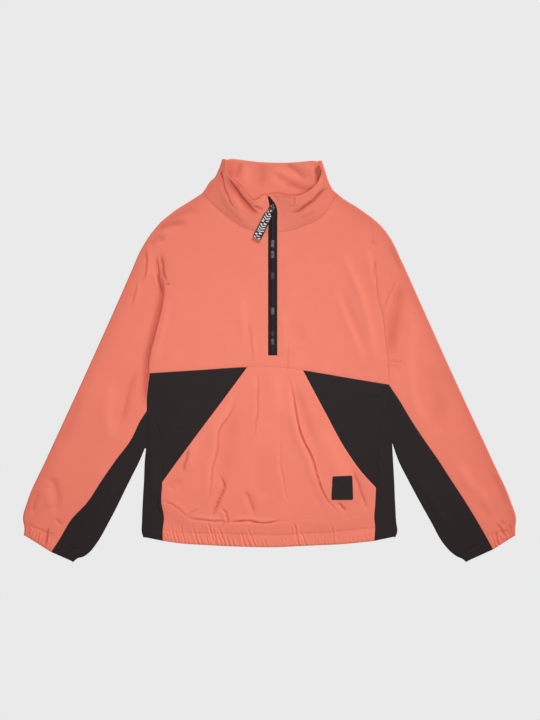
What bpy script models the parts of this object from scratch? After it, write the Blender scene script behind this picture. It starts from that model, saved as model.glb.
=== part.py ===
"""Half-zip softshell pullover, laid flat on its back with the front up.

Every cloth piece is a wall of real thickness. The two layers lie on each other and turn round at the
silhouette in a soft roll. Left is -X, the neck points to +Y, the underside rests on z = 0.
Sizes are in millimetres and become metres when a mesh is made.
"""
import math
from collections import namedtuple

import bmesh
import bpy
import numpy as np
from mathutils import Vector
from mathutils.bvhtree import BVHTree

# ---------------------------------------------------------------- sizes
MM = 0.001
CLOTH = 1.3             # one layer of softshell
DOUBLE = 2.4            # cloth turned back on itself at the hem and cuffs
COLLAR_WALL = 2.2       # the collar's two layers
ROLL = 3.0              # radius of the turned edge at the silhouette
TOP = 2 * ROLL          # height of the upper layer's face
SEAM = 0.3              # gap between two sewn pieces
ROLL_STEPS = 5          # facets round a whole turned edge
QUARTER_STEPS = 3       # facets round half of one, at the shoulder seam

YOKE_STEPS = 12         # steps down the armhole to the yoke seam
SHOULDER_STEPS = 4
NECK_STEPS = 12         # steps round each half of the front neck
BACK_NECK_STEPS = 9
SLEEVE_STEPS = 12       # steps down the sleeve to the cuff's stitch line
CASING_STEPS = 2        # steps over a turned-up casing
POCKET_GATHERS = 28
POCKET_MOUTH_STEPS = 6
COLLAR_STEPS = 7        # steps from the neck seam to the collar's top edge

ZIP_LEFT = -2.5
ZIP_RIGHT = 13.5
ZIP_BOTTOM = 7.5
TAPE_WALL = 1.0
CHAIN_WIDTH = 5.6
CHAIN_WALL = 1.4
LABEL_WALL = 0.8

# ------------------------------------------------- outlines, x and y by side
# Silhouette of the shoulder, from the armhole to the collar.
SHOULDER = {
    "left": [(-190, 241), (-163.5, 262), (-141, 276), (-118, 291)],
    "right": [(179.5, 248), (149.5, 269), (127, 283), (119, 290)],
}
# Silhouette of the sleeve's outer edge, from the shoulder to the cuff.
SLEEVE_OUTER = {
    "left": [(-190, 241), (-207.5, 220), (-225, 192), (-240.5, 157), (-263.5, 104.5), (-326.5, -35.5),
             (-391, -175.5), (-422.5, -245.5), (-431, -278.5), (-428.5, -294.5), (-429.5, -307.5)],
    "right": [(179.5, 248), (195, 234), (211, 213), (230, 174.5), (261.5, 104.5), (324.5, -35.5),
              (389.5, -175.5), (421, -245.5), (431, -279.5), (429.5, -295.5), (429.5, -308.5)],
}
SLEEVE_OUTER_CASING = 8     # row of that table where the cuff's casing starts
# Silhouette of the sleeve's inner edge, from the underarm to the cuff.
SLEEVE_INNER = {
    "left": [(-215, -147.5), (-226.5, -175.5), (-244, -210.5), (-279, -280.5), (-303.5, -323),
             (-313.5, -335.5), (-326, -344.5), (-335, -347), (-344, -354)],
    "right": [(214.5, -145.5), (225, -175.5), (242.5, -210.5), (281, -281), (306, -324),
              (318, -337), (331, -345.5), (335, -347), (344.5, -354)],
}
SLEEVE_INNER_CASING = 6
# Seam between the sleeve and its gusset, from the armhole to the cuff.
GUSSET_SEAM = {
    "left": [(-214.5, -89.5), (-225, -105.5), (-242.5, -140.5), (-268.5, -175.5), (-293, -210.5),
             (-319.5, -250.5), (-345, -277.5), (-368, -315.5), (-381.5, -336)],
    "right": [(208.5, -43.5), (226.5, -70.5), (247.5, -105.5), (270.5, -140.5), (295, -175.5),
              (317.5, -210.5), (340.5, -245.5), (378, -308.5), (390.5, -331.5)],
}
GUSSET_SEAM_CASING = 7
# Armhole seam, from the shoulder to the underarm.
ARMHOLE = {
    "left": [(-190, 241), (-190, 209.5), (-191, 180), (-187, 150), (-181.5, 131), (-184, 107),
             (-198.5, 45), (-208, 3), (-209.5, -23.5), (-214.5, -70.5), (-214.5, -89.5), (-215, -147.5)],
    "right": [(179.5, 248), (181, 209.5), (185, 173.5), (186, 145), (189.5, 110), (198, 73),
              (201, 45), (206, 6.5), (208.5, -43.5), (209, -70.5), (211, -109), (214.5, -145.5)],
}
# Rows of the armhole where other seams meet it, with the steps of each leg.
Leg = namedtuple("Leg", "row steps")
ARMHOLE_LEGS = {
    "left": [Leg(8, YOKE_STEPS), Leg(9, 2), Leg(10, 2), Leg(11, 4)],
    "right": [Leg(8, YOKE_STEPS), Leg(9, 2), Leg(11, 4)],
}
SIDE_SEAM_AT = YOKE_STEPS + 2                       # armhole step where the side panel starts
GUSSET_AT = {"left": YOKE_STEPS + 4, "right": YOKE_STEPS}    # and where the gusset starts
# Silhouette of the body, from the underarm to the hem.
BODY_SIDE = {
    "left": [(-215, -147.5), (-218, -175.5), (-219.5, -210.5), (-221.5, -245.5), (-223, -282),
             (-223, -303), (-220.5, -311)],
    "right": [(214.5, -145.5), (216, -175.5), (218, -210.5), (219.5, -245.5), (221.5, -282),
              (223, -303), (220, -310.5)],
}
BODY_SIDE_CASING = 4
# Seam of the side panel, from the armhole past the pocket's corner and the bag's end to the hem.
SIDE_SEAM = {
    "left": [(-214.5, -70.5), (-200.5, -102), (-191.5, -133.5), (-189.5, -172), (-187.5, -214),
             (-189, -247), (-184.5, -278.5), (-186.5, -296), (-186.5, -316.5)],
    "right": [(209, -70.5), (193.5, -118), (188, -147.5), (188.5, -172), (186, -223.5),
              (184.5, -254), (183, -275), (184.5, -293.5), (183, -316.5)],
}
SIDE_SEAM_LEGS = [Leg(4, 6), Leg(5, 2), Leg(7, 4), Leg(8, CASING_STEPS)]
SEAM_STEPS = sum(leg.steps for leg in SIDE_SEAM_LEGS)
# Slanted mouth of the pocket, from the yoke seam to the side seam.
POCKET_MOUTH = {
    "left": [(-39, -13), (-81.5, -70.5), (-134, -140.5), (-172.5, -193), (-187.5, -214)],
    "right": [(58.5, -18.5), (95.5, -88), (134, -158), (158.5, -193), (186, -223.5)],
}
YOKE_SEAM = [(-209.5, -23.5), (-121.5, -18), (-39, -13), (17, -13.5), (58.5, -18.5), (133, -31),
             (208.5, -43.5)]
HEM = [(-186.5, -316.5), (-148.5, -321.5), (-115, -323.5), (-51.5, -326.5), (9, -327.5), (65, -325),
       (135.5, -321.5), (183, -316.5)]
# Stitch line of the pocket's bag, where the lower front ends behind the pocket.
BAG_LINE = [(-189, -247), (-164, -257.5), (-139, -277), (-109.5, -281.5), (-69, -285.5),
            (-30.5, -281.5), (14, -283), (53.5, -278.5), (128.5, -278.5), (155, -270), (184.5, -254)]
# Front neck seam, from the shoulder to the zip, and the back one from side to side.
NECK = {
    "left": [(-108, 280), (-89, 261.5), (-70.5, 246.5), (-52, 234), (-29.5, 225), (ZIP_LEFT, 221)],
    "right": [(106, 269), (86, 245.5), (59.5, 233.5), (37.5, 226), (ZIP_RIGHT, 222.5)],
}
BACK_NECK = [(-83, 278), (-43, 271), (4.5, 268), (53.5, 271), (88.5, 278)]
# Folded side of the collar, from the shoulder to its top edge.
COLLAR_SIDE = {
    "left": [(-118, 291), (-114, 296), (-104, 311), (-95.5, 319), (-89, 332), (-79.5, 354)],
    "right": [(119, 290), (111, 297), (104, 309.5), (97, 330.5), (92, 349.5)],
}
# Collar's end along the zip, from the neck seam up: x, y and the height of its outer face.
COLLAR_END = {
    "left": [(ZIP_LEFT, 221, TOP), (-1.5, 243, 7.2), (0.2, 262, 8.4), (0, 271, 9), (-4, 289, 9.6)],
    "right": [(ZIP_RIGHT, 222.5, TOP), (13.5, 243, 7.2), (13.5, 262, 8.4), (11, 273, 9),
              (3.5, 289.5, 9.6)],
}
# Collar's top edge, from the zip to the folded side: x, y and the height of its outer face.
COLLAR_RIM = {
    "left": [(-4, 289, 9.6), (-18.5, 278, 12), (-29.5, 276, 14), (-41, 287.5, 15.5), (-55.5, 304, 16),
             (-67, 319, 15.5), (-75, 337, 14)],
    "right": [(3.5, 289.5, 9.6), (20.5, 293, 12), (33.5, 285.5, 14.5), (50.5, 282.5, 16),
              (69, 291, 16), (84, 304, 15.5), (90, 332, 14)],
}
COLLAR_TURN = 6.2           # radius of the collar's fold at its top edge
BACK_RIM = [(-51.5, 349.5), (-18.5, 346), (4.5, 344.5), (53.5, 347)]

# Largest soft folds of the upper layer: an arc from one end to the other, bowed sideways.
Fold = namedtuple("Fold", "piece x0 y0 x1 y1 bow height width")
FOLDS = [
    Fold("pocket", 34, -30, 126, -276, 12, 2.2, 9),
    Fold("pocket", -62, -84, -116, -262, -8, 1.8, 8),
    Fold("pocket", -150, -170, -160, -262, 4, 1.2, 9),
    Fold("pocket", -20, -30, -24, -128, 2, 0.9, 9),
    Fold("pocket", 22, -130, 34, -268, 2, 0.9, 9),
    Fold("pocket", -40, -222, -24, -262, 0, 1.0, 8),
    Fold("body", 118, 172, 172, 34, 6, 1.4, 14),
    Fold("body", 92, 118, 150, 12, 6, 1.0, 13),
    Fold("body", -150, 190, -168, 70, -6, 1.0, 13),
    Fold("body", -92, 60, -60, 6, 0, 0.8, 14),
    Fold("sleeve", -216, 172, -242, 92, -4, 1.6, 9),
    Fold("sleeve", -262, 10, -300, -92, 4, 1.2, 12),
    Fold("sleeve", -345, -160, -376, -230, 4, 1.2, 11),
    Fold("sleeve", 224, 140, 202, 84, 4, 1.6, 9),
    Fold("sleeve", 262, 10, 300, -92, -4, 1.2, 12),
    Fold("sleeve", 345, -160, 376, -230, -4, 1.2, 11),
]
# Folds that run across the collar's front: where along it (0 zip, 1 side), slant and height.
CollarFold = namedtuple("CollarFold", "side at slant height width")
COLLAR_FOLDS = [
    CollarFold("left", 0.36, 0.05, -3.2, 0.07),
    CollarFold("left", 0.50, 0.08, 1.6, 0.08),
    CollarFold("left", 0.66, 0.12, -2.0, 0.06),
    CollarFold("right", 0.45, -0.10, -2.4, 0.07),
    CollarFold("right", 0.30, -0.04, 1.2, 0.08),
]

# Gathers of a casing: their height on each row, counted up from the free edge.
GATHER_HEIGHT = 1.2
GATHER_BY_ROW = [0.8, 1.0, 0.45, 0.3, 0.12]

# Slider, ring and ribbon of the pull.
SLIDER_AT = (5.0, 266.5)    # middle of the slider, and of the ring's bar in its bridge
SLIDER_BASE = 8.9
SLIDER_SIZE = (7.4, 10.0, 1.9)
BRIDGE_SIZE = (2.4, 8.4, 4.1)
BRIDGE_SUNK = 0.5           # how deep the bridge's feet stand in the slider
BRIDGE_HOLE = (4.0, 4.8, 2.5)
HINGE_HEIGHT = 12.45
RING_WIRE = 0.7             # radius of the ring's wire
RING_SIZE = (9.0, 8.0)      # across and along, between wire centres
RING_CORNER = 1.2
RIBBON_WIDTH = 15.0
RIBBON_NECK = 5.8           # its width where it goes through the ring
RIBBON_TAPER = 9.0          # length of the part that widens
RIBBON_WALL = 0.9
RIBBON_REACH = 61.0         # from the hinge to the ribbon's free end
PULL_END = (-23.5, 209.5)   # where the ribbon's free end lies
PULL_END_HEIGHT = 10.6      # height of its middle there, where it stands off the cloth

TAPE_SUNK = 0.3             # how far the tape lies below the cloth beside it
TAPE_TOP = 277.0
CHAIN_TOP = SLIDER_AT[1] - SLIDER_SIZE[1] / 2 - SEAM
LABEL = [(110, -203.5), (144.5, -202), (146, -244.5), (108, -244.5)]    # round from top left
LABEL_STEPS = 6

# ---------------------------------------------------------------- colours
CORAL = (0.86, 0.235, 0.165)
BLACK = (0.030, 0.024, 0.025)
METAL = (0.05, 0.05, 0.052)
RIBBON = (0.23, 0.235, 0.235)
LABEL_BLACK = (0.038, 0.031, 0.028)


# ---------------------------------------------------------------- curves
def smooth(table, legs):
    """Points along a smooth curve through a table's points; each leg has its own even steps."""
    rows = np.array(table, float)
    steps = np.linalg.norm(np.diff(rows[:, :2], axis=0), axis=1)
    at = np.concatenate([[0], np.cumsum(steps)])
    slopes = np.gradient(rows, at, axis=0)
    fine, marks = [rows[0]], [0]
    for k in range(len(rows) - 1):
        for t in np.linspace(0, 1, 25)[1:]:
            h = steps[k]
            fine.append((2 * t**3 - 3 * t**2 + 1) * rows[k] + (t**3 - 2 * t**2 + t) * h * slopes[k]
                        + (3 * t**2 - 2 * t**3) * rows[k + 1] + (t**3 - t**2) * h * slopes[k + 1])
        marks.append(len(fine) - 1)
    fine = np.array(fine)
    points, start = [fine[0]], 0
    for leg in legs:
        points += list(spread(fine[start:marks[leg.row] + 1], leg.steps)[1:])
        start = marks[leg.row]
    return np.array(points)


def whole(table, steps):
    """The same for a curve in one leg."""
    return smooth(table, [Leg(len(table) - 1, steps)])


def spread(points, steps):
    """Even steps by length along a fine polyline."""
    reach = np.concatenate([[0], np.cumsum(np.linalg.norm(np.diff(points[:, :2], axis=0), axis=1))])
    wanted = np.linspace(0, reach[-1], steps + 1)
    return np.stack([np.interp(wanted, reach, points[:, c]) for c in range(points.shape[1])], axis=1)


def unit(vector):
    return vector / np.linalg.norm(vector)


def inward(edge, towards):
    """Unit directions square to an edge's points, on the side of the points given."""
    along = np.gradient(edge, axis=0)
    square = np.stack([-along[:, 1], along[:, 0]], axis=1)
    side = np.sign(np.sum(square * (towards - edge), axis=1))
    return square * (side / np.linalg.norm(square, axis=1))[:, None]


def inset(runs):
    """Move the sides of a closed outline inwards. Runs are (name, points, gap), in order round it."""
    points, gaps, places = [], [], {}
    for name, run, gap in runs:
        places[name] = (len(points), len(run))
        points += [np.array(p[:2]) for p in run[:-1]]
        gaps += [gap] * (len(run) - 1)
    points = np.array(points)
    count = len(points)
    nxt = np.roll(points, -1, axis=0)
    turn = np.sign(np.sum(points[:, 0] * nxt[:, 1] - nxt[:, 0] * points[:, 1]))
    moved = []
    for k in range(count):
        before, after = unit(points[k] - points[k - 1]), unit(nxt[k] - points[k])
        n1, n2 = turn * np.array([-before[1], before[0]]), turn * np.array([-after[1], after[0]])
        g1, g2 = gaps[k - 1], gaps[k]
        cross = n1[0] * n2[1] - n1[1] * n2[0]
        shift = unit(n1 + n2) * max(g1, g2)
        if abs(cross) > 0.2:
            exact = np.array([g1 * n2[1] - g2 * n1[1], g2 * n1[0] - g1 * n2[0]]) / cross
            if np.linalg.norm(exact) <= 4 * max(g1, g2):
                shift = exact
        moved.append(points[k] + shift)
    moved.append(moved[0])
    return {name: np.array([moved[(at + k) % count] for k in range(size)])
            for name, (at, size) in places.items()}


def patch(left, right, start, end):
    """Grid of points between four edges: left and right run along it, start and end across it."""
    u = np.linspace(0, 1, len(start))[:, None, None]
    v = np.linspace(0, 1, len(left))[None, :, None]
    corners = ((1 - u) * (1 - v) * left[0] + u * (1 - v) * right[0]
               + (1 - u) * v * left[-1] + u * v * right[-1])
    return ((1 - u) * left[None] + u * right[None]
            + (1 - v) * start[:, None] + v * end[:, None] - corners)


def relax(grid, rounds=40):
    """Even out the grid's inner points near its start, where its corner is nearly straight."""
    weight = np.clip(1.4 * (1 - np.linspace(0, 1, grid.shape[1])) - 0.4, 0, 1)[None, 1:-1, None]
    for _ in range(rounds):
        mean = (grid[2:, 1:-1] + grid[:-2, 1:-1] + grid[1:-1, 2:] + grid[1:-1, :-2]) / 4
        grid[1:-1, 1:-1] += weight * (mean - grid[1:-1, 1:-1])
    return grid


# ---------------------------------------------------------------- heights
def lift(piece, x, y):
    """How far the folds of one kind of piece raise the upper layer at a point."""
    total = 0.0
    for fold in FOLDS:
        if fold.piece != piece:
            continue
        run = np.array([fold.x1 - fold.x0, fold.y1 - fold.y0])
        length = np.linalg.norm(run)
        along = np.dot([x - fold.x0, y - fold.y0], run) / length**2
        if not -0.2 < along < 1.2:
            continue
        off = ((x - fold.x0) * run[1] - (y - fold.y0) * run[0]) / length
        off -= fold.bow * 4 * along * (1 - along)
        fade = min(1, max(0, (0.5 - abs(along - 0.5)) / 0.22))
        total += fold.height * math.exp(-(off / fold.width)**2) * fade * fade * (3 - 2 * fade)
    return total


def gather(column, rows_up):
    """Height of a casing's gathers: every other column stands up, unevenly."""
    if rows_up >= len(GATHER_BY_ROW) or column % 2 == 0:
        return 0.0
    return GATHER_HEIGHT * GATHER_BY_ROW[rows_up] * (0.8 + 0.25 * math.sin(1.9 * column))


def casing_wall(rows_up):
    """Wall of a panel near its free edge, where the cloth is turned up."""
    return DOUBLE if rows_up < CASING_STEPS else CLOTH


# ---------------------------------------------------------------- meshes
def material(name, colour, roughness, metallic=0.0):
    made = bpy.data.materials.get(name) or bpy.data.materials.new(name)
    made.use_nodes = True
    shader = made.node_tree.nodes["Principled BSDF"]
    shader.inputs["Base Color"].default_value = (*colour, 1)
    shader.inputs["Roughness"].default_value = roughness
    shader.inputs["Metallic"].default_value = metallic
    return made


def finish(name, mesh, look, collection):
    mesh.name = name
    mesh.shade_smooth()
    mesh.set_sharp_from_angle(angle=math.radians(40))
    thing = bpy.data.objects.new(name, mesh)
    thing.data.materials.append(look)
    collection.objects.link(thing)
    return thing


def cloth(name, outer, inner, look, collection, keep=None):
    """A wall between two grids of points: a flat grid, extruded, with both faces moved to place."""
    across, along = outer.shape[0] - 1, outer.shape[1] - 1
    mesh = bmesh.new()
    bmesh.ops.create_grid(mesh, x_segments=across, y_segments=along, size=0.5)

    def place(vert):
        return round((vert.co.x + 0.5) * across), round((vert.co.y + 0.5) * along)

    if keep:
        gone = [f for f in mesh.faces if not keep(min(place(v)[0] for v in f.verts),
                                                  min(place(v)[1] for v in f.verts))]
        bmesh.ops.delete(mesh, geom=gone, context="FACES")
    made = bmesh.ops.extrude_face_region(mesh, geom=mesh.faces[:])["geom"]
    raised = {v for v in made if isinstance(v, bmesh.types.BMVert)}
    for vert in mesh.verts:
        i, j = place(vert)
        vert.co = Vector((outer if vert in raised else inner)[i, j] * MM)
    bmesh.ops.recalc_face_normals(mesh, faces=mesh.faces[:])
    if mesh.calc_volume(signed=True) < 0:
        bmesh.ops.reverse_faces(mesh, faces=mesh.faces[:])
    data = bpy.data.meshes.new(name)
    mesh.to_mesh(data)
    mesh.free()
    return finish(name, data, look, collection)


def sheet(flat, height, wall):
    """Outer and inner points of an upper layer, from its flat grid."""
    outer, inner = [np.zeros((*flat.shape[:2], 3)) for _ in range(2)]
    for i in range(flat.shape[0]):
        for j in range(flat.shape[1]):
            x, y = flat[i, j, :2]
            top = height(i, j, x, y)
            outer[i, j] = x, y, top
            inner[i, j] = x, y, top - wall(j)
    return outer, inner


# ---------------------------------------------------------------- pieces
class Pattern:
    """The seams that neighbouring pieces share, worked out once from the tables."""

    def __init__(self):
        self.armhole, self.seam, self.neck, self.shoulder = {}, {}, {}, {}
        for side in ("left", "right"):
            rim = whole(SHOULDER[side], SHOULDER_STEPS)
            ways = inward(rim, np.zeros_like(rim))
            ways[0] = across_corner(SLEEVE_OUTER[side][1], rim[1], -rim[0])
            ways[-1] = across_corner(rim[-2], COLLAR_SIDE[side][2], -rim[-1])
            self.shoulder[side] = (rim, ways)
            top, underarm = tuple(rim[0] + ROLL * ways[0]), ARMHOLE[side][-1]
            foot = (underarm[0], underarm[1] + ROLL)
            self.armhole[side] = smooth([top, *ARMHOLE[side][1:-1], foot], ARMHOLE_LEGS[side])
            self.seam[side] = smooth(SIDE_SEAM[side], SIDE_SEAM_LEGS)
            self.neck[side] = whole([tuple(rim[-1] + ROLL * ways[-1]), *NECK[side]], NECK_STEPS)
        ends = [tuple(self.neck[side][0]) for side in ("left", "right")]
        self.back_neck = whole([ends[0], *BACK_NECK, ends[1]], BACK_NECK_STEPS)
        self.hem = whole(HEM, 2 * POCKET_GATHERS)
        self.yoke_seam = whole(YOKE_SEAM, 2 * (SHOULDER_STEPS + NECK_STEPS) + 1)


def across_corner(before, after, towards):
    """Unit direction into the cloth at a corner of the silhouette, square to the line past it."""
    line = np.array(after) - np.array(before)
    square = unit(np.array([-line[1], line[0]]))
    return square * np.sign(np.dot(square, towards))


def wrapped(name, edge, first_way, seam, start, end, piece, gathered, look, collection):
    """A panel that turns round the silhouette: flat below, rolled at the edge, folds on top.

    Edge and seam run along it, start is the armhole seam from edge to seam, end is its free edge.
    """
    ways = inward(edge, seam)
    ways[0] = first_way
    turned = edge + ROLL * ways
    end = np.vstack([turned[-1:], end[1:]])
    sides = inset([
        ("edge", edge, 0), ("turn", np.array([edge[-1], turned[-1]]), 0), ("end", end, 0),
        ("seam", seam[::-1], SEAM / 2), ("start", start[::-1], SEAM / 2),
        ("tuck", np.array([start[0], edge[0]]), SEAM / 2)])
    rim = sides["edge"].copy()
    rim[-1] = edge[-1]
    tops = rim + (turned - edge)
    tops[0], tops[-1] = sides["tuck"][0], turned[-1]
    seam, start, end = sides["seam"][::-1], sides["start"][::-1], sides["end"]
    upper = relax(patch(tops, seam, start, end))
    lower = relax(patch(tops, straightened(seam), start[::2], end[::2]))
    rows = len(edge) - 1
    columns = (len(lower) - 1) + ROLL_STEPS + (len(upper) - 1)
    outer, inner = [np.zeros((columns + 1, rows + 1, 3)) for _ in range(2)]
    for j in range(rows + 1):
        wall = casing_wall(rows - j)
        line = []
        for point in lower[::-1, j]:
            line.append(((*point, 0), (*point, wall)))
        for k in range(1, ROLL_STEPS):
            turn = math.pi * k / ROLL_STEPS
            pair = []
            for radius in (ROLL, ROLL - wall):
                spot = tops[j] + (rim[j] - tops[j]) * radius / ROLL * math.sin(turn)
                pair.append((*spot, ROLL - radius * math.cos(turn)))
            line.append(tuple(pair))
        for i, point in enumerate(upper[:, j]):
            ease = min(1, np.linalg.norm(point - tops[j]) / 14)
            top = TOP + lift(piece, *point) * ease
            if gathered and 0 < i < len(upper) - 1:
                top += gather(i, rows - j)
            line.append(((*point, top), (*point, top - wall)))
        for i, (out, inn) in enumerate(line):
            outer[i, j], inner[i, j] = out, inn
    return cloth(name, outer, inner, look, collection)


def straightened(seam):
    """A seam with every other point on the line between its neighbours, as the back has it."""
    plain = seam.copy()
    plain[1:-1:2] = (seam[:-2:2] + seam[2::2]) / 2
    return plain


def sleeve(side, pattern, look, collection):
    shoulder, inner = pattern.shoulder[side]
    edge = smooth(SLEEVE_OUTER[side], [Leg(SLEEVE_OUTER_CASING, SLEEVE_STEPS),
                                       Leg(len(SLEEVE_OUTER[side]) - 1, CASING_STEPS)])
    seam = gusset_seam(side)
    start = pattern.armhole[side][:GUSSET_AT[side] + 1]
    end = np.linspace(edge[-1], seam[-1], len(start))
    wrapped(f"sleeve_{side}", edge, inner[0], seam, start, end, "sleeve", True, look, collection)


def gusset_seam(side):
    return smooth(GUSSET_SEAM[side], [Leg(GUSSET_SEAM_CASING, SLEEVE_STEPS),
                                      Leg(len(GUSSET_SEAM[side]) - 1, CASING_STEPS)])


def gusset(side, pattern, look, collection):
    edge = smooth(SLEEVE_INNER[side], [Leg(SLEEVE_INNER_CASING, SLEEVE_STEPS),
                                       Leg(len(SLEEVE_INNER[side]) - 1, CASING_STEPS)])
    seam = gusset_seam(side)
    start = pattern.armhole[side][GUSSET_AT[side]:][::-1]
    end = np.linspace(edge[-1], seam[-1], len(start))
    wrapped(f"sleeve_gusset_{side}", edge, (0, 1), seam, start, end, "gusset", False, look, collection)


def side_panel(side, pattern, look, collection):
    edge = smooth(BODY_SIDE[side], [Leg(BODY_SIDE_CASING, SEAM_STEPS - CASING_STEPS),
                                    Leg(len(BODY_SIDE[side]) - 1, CASING_STEPS)])
    start = pattern.armhole[side][SIDE_SEAM_AT:][::-1]
    end = np.linspace(edge[-1], pattern.seam[side][-1], len(start))
    wrapped(f"side_panel_{side}", edge, (0, 1), pattern.seam[side], start, end, "side", False,
            look, collection)


def shoulder_turn(point, rim, radius, step, upper):
    """A point of the quarter turn from a layer's flat to the shoulder seam, at one radius."""
    turn = step / QUARTER_STEPS * math.acos(SEAM / 2 / radius)
    spot = point + (rim - point) * radius / ROLL * math.sin(turn)
    height = radius * math.cos(turn)
    return (*spot, ROLL + height if upper else ROLL - height)


def back(pattern, look, collection):
    """The back, flat on the surface, with its shoulders turned up to the shoulder seam."""
    runs = outline_above(pattern, [("neck", pattern.back_neck, SEAM / 2)],
                         SIDE_SEAM_AT, pattern.seam, whole(HEM, 2 * SHOULDER_STEPS + BACK_NECK_STEPS))
    sides = inset(runs)
    left = np.vstack([sides["arm_left"][::-1][::2], sides["seam_left"][::-1][::2][1:]])
    right = np.vstack([sides["arm_right"][::2], sides["seam_right"][::2][1:]])
    rims, tops = shoulder_rows(pattern, sides)
    top = np.vstack([tops["left"], sides["neck"][1:-1], tops["right"][::-1]])
    flat = patch(left, right, top, sides["hem"][::-1])
    rows, columns = flat.shape[1] - 1, flat.shape[0] - 1
    outer, inner = [np.zeros((columns + 1, rows + 1 + QUARTER_STEPS, 3)) for _ in range(2)]
    for i in range(columns + 1):
        for j in range(rows + 1):
            outer[i, j + QUARTER_STEPS] = (*flat[i, j], 0)
            inner[i, j + QUARTER_STEPS] = (*flat[i, j], casing_wall(rows - j))
        turn_shoulder(outer, inner, i, columns, flat, rims, upper=False)
    return cloth("back", outer, inner, look, collection, keep_below_neck(columns))


def outline_above(pattern, neck_runs, arm_steps, seams, bottom):
    """Runs of a body piece, round from the left shoulder: neck, right side, bottom, left side."""
    runs = []
    rim, into = pattern.shoulder["left"]
    neck_left, neck_right = pattern.neck["left"][0], pattern.neck["right"][0]
    runs.append(("rim_left", rim, 0))
    runs.append(("tuck_left", np.array([rim[-1], neck_left]), SEAM / 2))
    runs += neck_runs
    rim, into = pattern.shoulder["right"]
    runs.append(("tuck_right", np.array([neck_right, rim[-1]]), SEAM / 2))
    runs.append(("rim_right", rim[::-1], 0))
    arm = pattern.armhole["right"][:arm_steps + 1]
    runs.append(("end_right", np.array([rim[0], arm[0]]), SEAM / 2))
    runs.append(("arm_right", arm, SEAM / 2))
    if seams:
        runs.append(("seam_right", seams["right"], SEAM / 2))
    runs.append(("hem", bottom[::-1], 0 if seams else SEAM / 2))
    if seams:
        runs.append(("seam_left", seams["left"][::-1], SEAM / 2))
    arm = pattern.armhole["left"][:arm_steps + 1]
    runs.append(("arm_left", arm[::-1], SEAM / 2))
    runs.append(("end_left", np.array([arm[0], pattern.shoulder["left"][0][0]]), SEAM / 2))
    return runs


def shoulder_rows(pattern, sides):
    """The silhouette points of both shoulders and the points where their turn begins."""
    rims, tops = {}, {}
    for side in ("left", "right"):
        rim, into = pattern.shoulder[side]
        moved = sides[f"rim_{side}"] if side == "left" else sides[f"rim_{side}"][::-1]
        rims[side] = moved
        tops[side] = moved + ROLL * into
        arm = sides[f"arm_{side}"]
        tops[side][0] = arm[-1] if side == "left" else arm[0]
        tuck = sides[f"tuck_{side}"]
        tops[side][-1] = tuck[-1] if side == "left" else tuck[0]
    return rims, tops


def turn_shoulder(outer, inner, i, columns, flat, rims, upper):
    """Fill the rows of the quarter turn over one column of a shoulder."""
    from_right = columns - i
    if i <= SHOULDER_STEPS:
        rim = rims["left"][i]
    elif from_right <= SHOULDER_STEPS:
        rim = rims["right"][from_right]
    else:
        return
    for step in range(1, QUARTER_STEPS + 1):
        row = QUARTER_STEPS - step
        outer[i, row] = shoulder_turn(flat[i, 0], rim, ROLL, step, upper)
        inner[i, row] = shoulder_turn(flat[i, 0], rim, ROLL - CLOTH, step, upper)


def keep_below_neck(columns, slot=None):
    """Faces to keep: the turn only over the shoulders, and none in the zip's slot."""
    def keep(i, j):
        if j < QUARTER_STEPS:
            return i < SHOULDER_STEPS or i >= columns - SHOULDER_STEPS
        return not (slot and i == slot[0] and j < slot[1])
    return keep


def front_yoke(pattern, look, collection):
    """The upper front, in two halves beside the zip's slot and a strip below it."""
    slot_left = np.array([(ZIP_LEFT, y) for y in np.linspace(pattern.neck["left"][-1][1], ZIP_BOTTOM,
                                                             YOKE_STEPS)])
    slot_right = np.array([(ZIP_RIGHT, y) for y in np.linspace(pattern.neck["right"][-1][1],
                                                               ZIP_BOTTOM, YOKE_STEPS)])
    half = SEAM / 2
    runs = outline_above(pattern, [
        ("neck_left", pattern.neck["left"], half), ("slot_left", slot_left, half),
        ("slot_end", np.array([slot_left[-1], slot_right[-1]]), half),
        ("slot_right", slot_right[::-1], half), ("neck_right", pattern.neck["right"][::-1], half),
    ], YOKE_STEPS, None, pattern.yoke_seam)
    sides = inset(runs)
    rims, tops = shoulder_rows(pattern, sides)
    arm_left, arm_right = sides["arm_left"][::-1], sides["arm_right"]
    slot_left, slot_right = sides["slot_left"], sides["slot_right"][::-1]
    line_left = np.linspace(arm_left[-2], slot_left[-1], SHOULDER_STEPS + NECK_STEPS + 1)
    line_right = np.linspace(slot_right[-1], arm_right[-2], SHOULDER_STEPS + NECK_STEPS + 1)
    top_left = np.vstack([tops["left"], sides["neck_left"][1:]])
    top_right = np.vstack([sides["neck_right"][:-1], tops["right"][::-1]])
    block_left = patch(arm_left[:-1], slot_left, top_left, line_left)
    block_right = patch(slot_right, arm_right[:-1], top_right, line_right)
    flat = np.concatenate([block_left, block_right], axis=0)
    flat = np.concatenate([flat, sides["hem"][::-1][:, None]], axis=1)
    columns, rows = flat.shape[0] - 1, flat.shape[1] - 1
    body_outer, body_inner = sheet(flat, lambda i, j, x, y: TOP + lift("body", x, y),
                                   lambda j: CLOTH)
    outer, inner = [np.zeros((columns + 1, rows + 1 + QUARTER_STEPS, 3)) for _ in range(2)]
    outer[:, QUARTER_STEPS:], inner[:, QUARTER_STEPS:] = body_outer, body_inner
    for i in range(columns + 1):
        turn_shoulder(outer, inner, i, columns, flat, rims, upper=True)
    slot = (SHOULDER_STEPS + NECK_STEPS, QUARTER_STEPS + YOKE_STEPS - 1)
    return cloth("front_yoke", outer, inner, look, collection, keep_below_neck(columns, slot))


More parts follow.
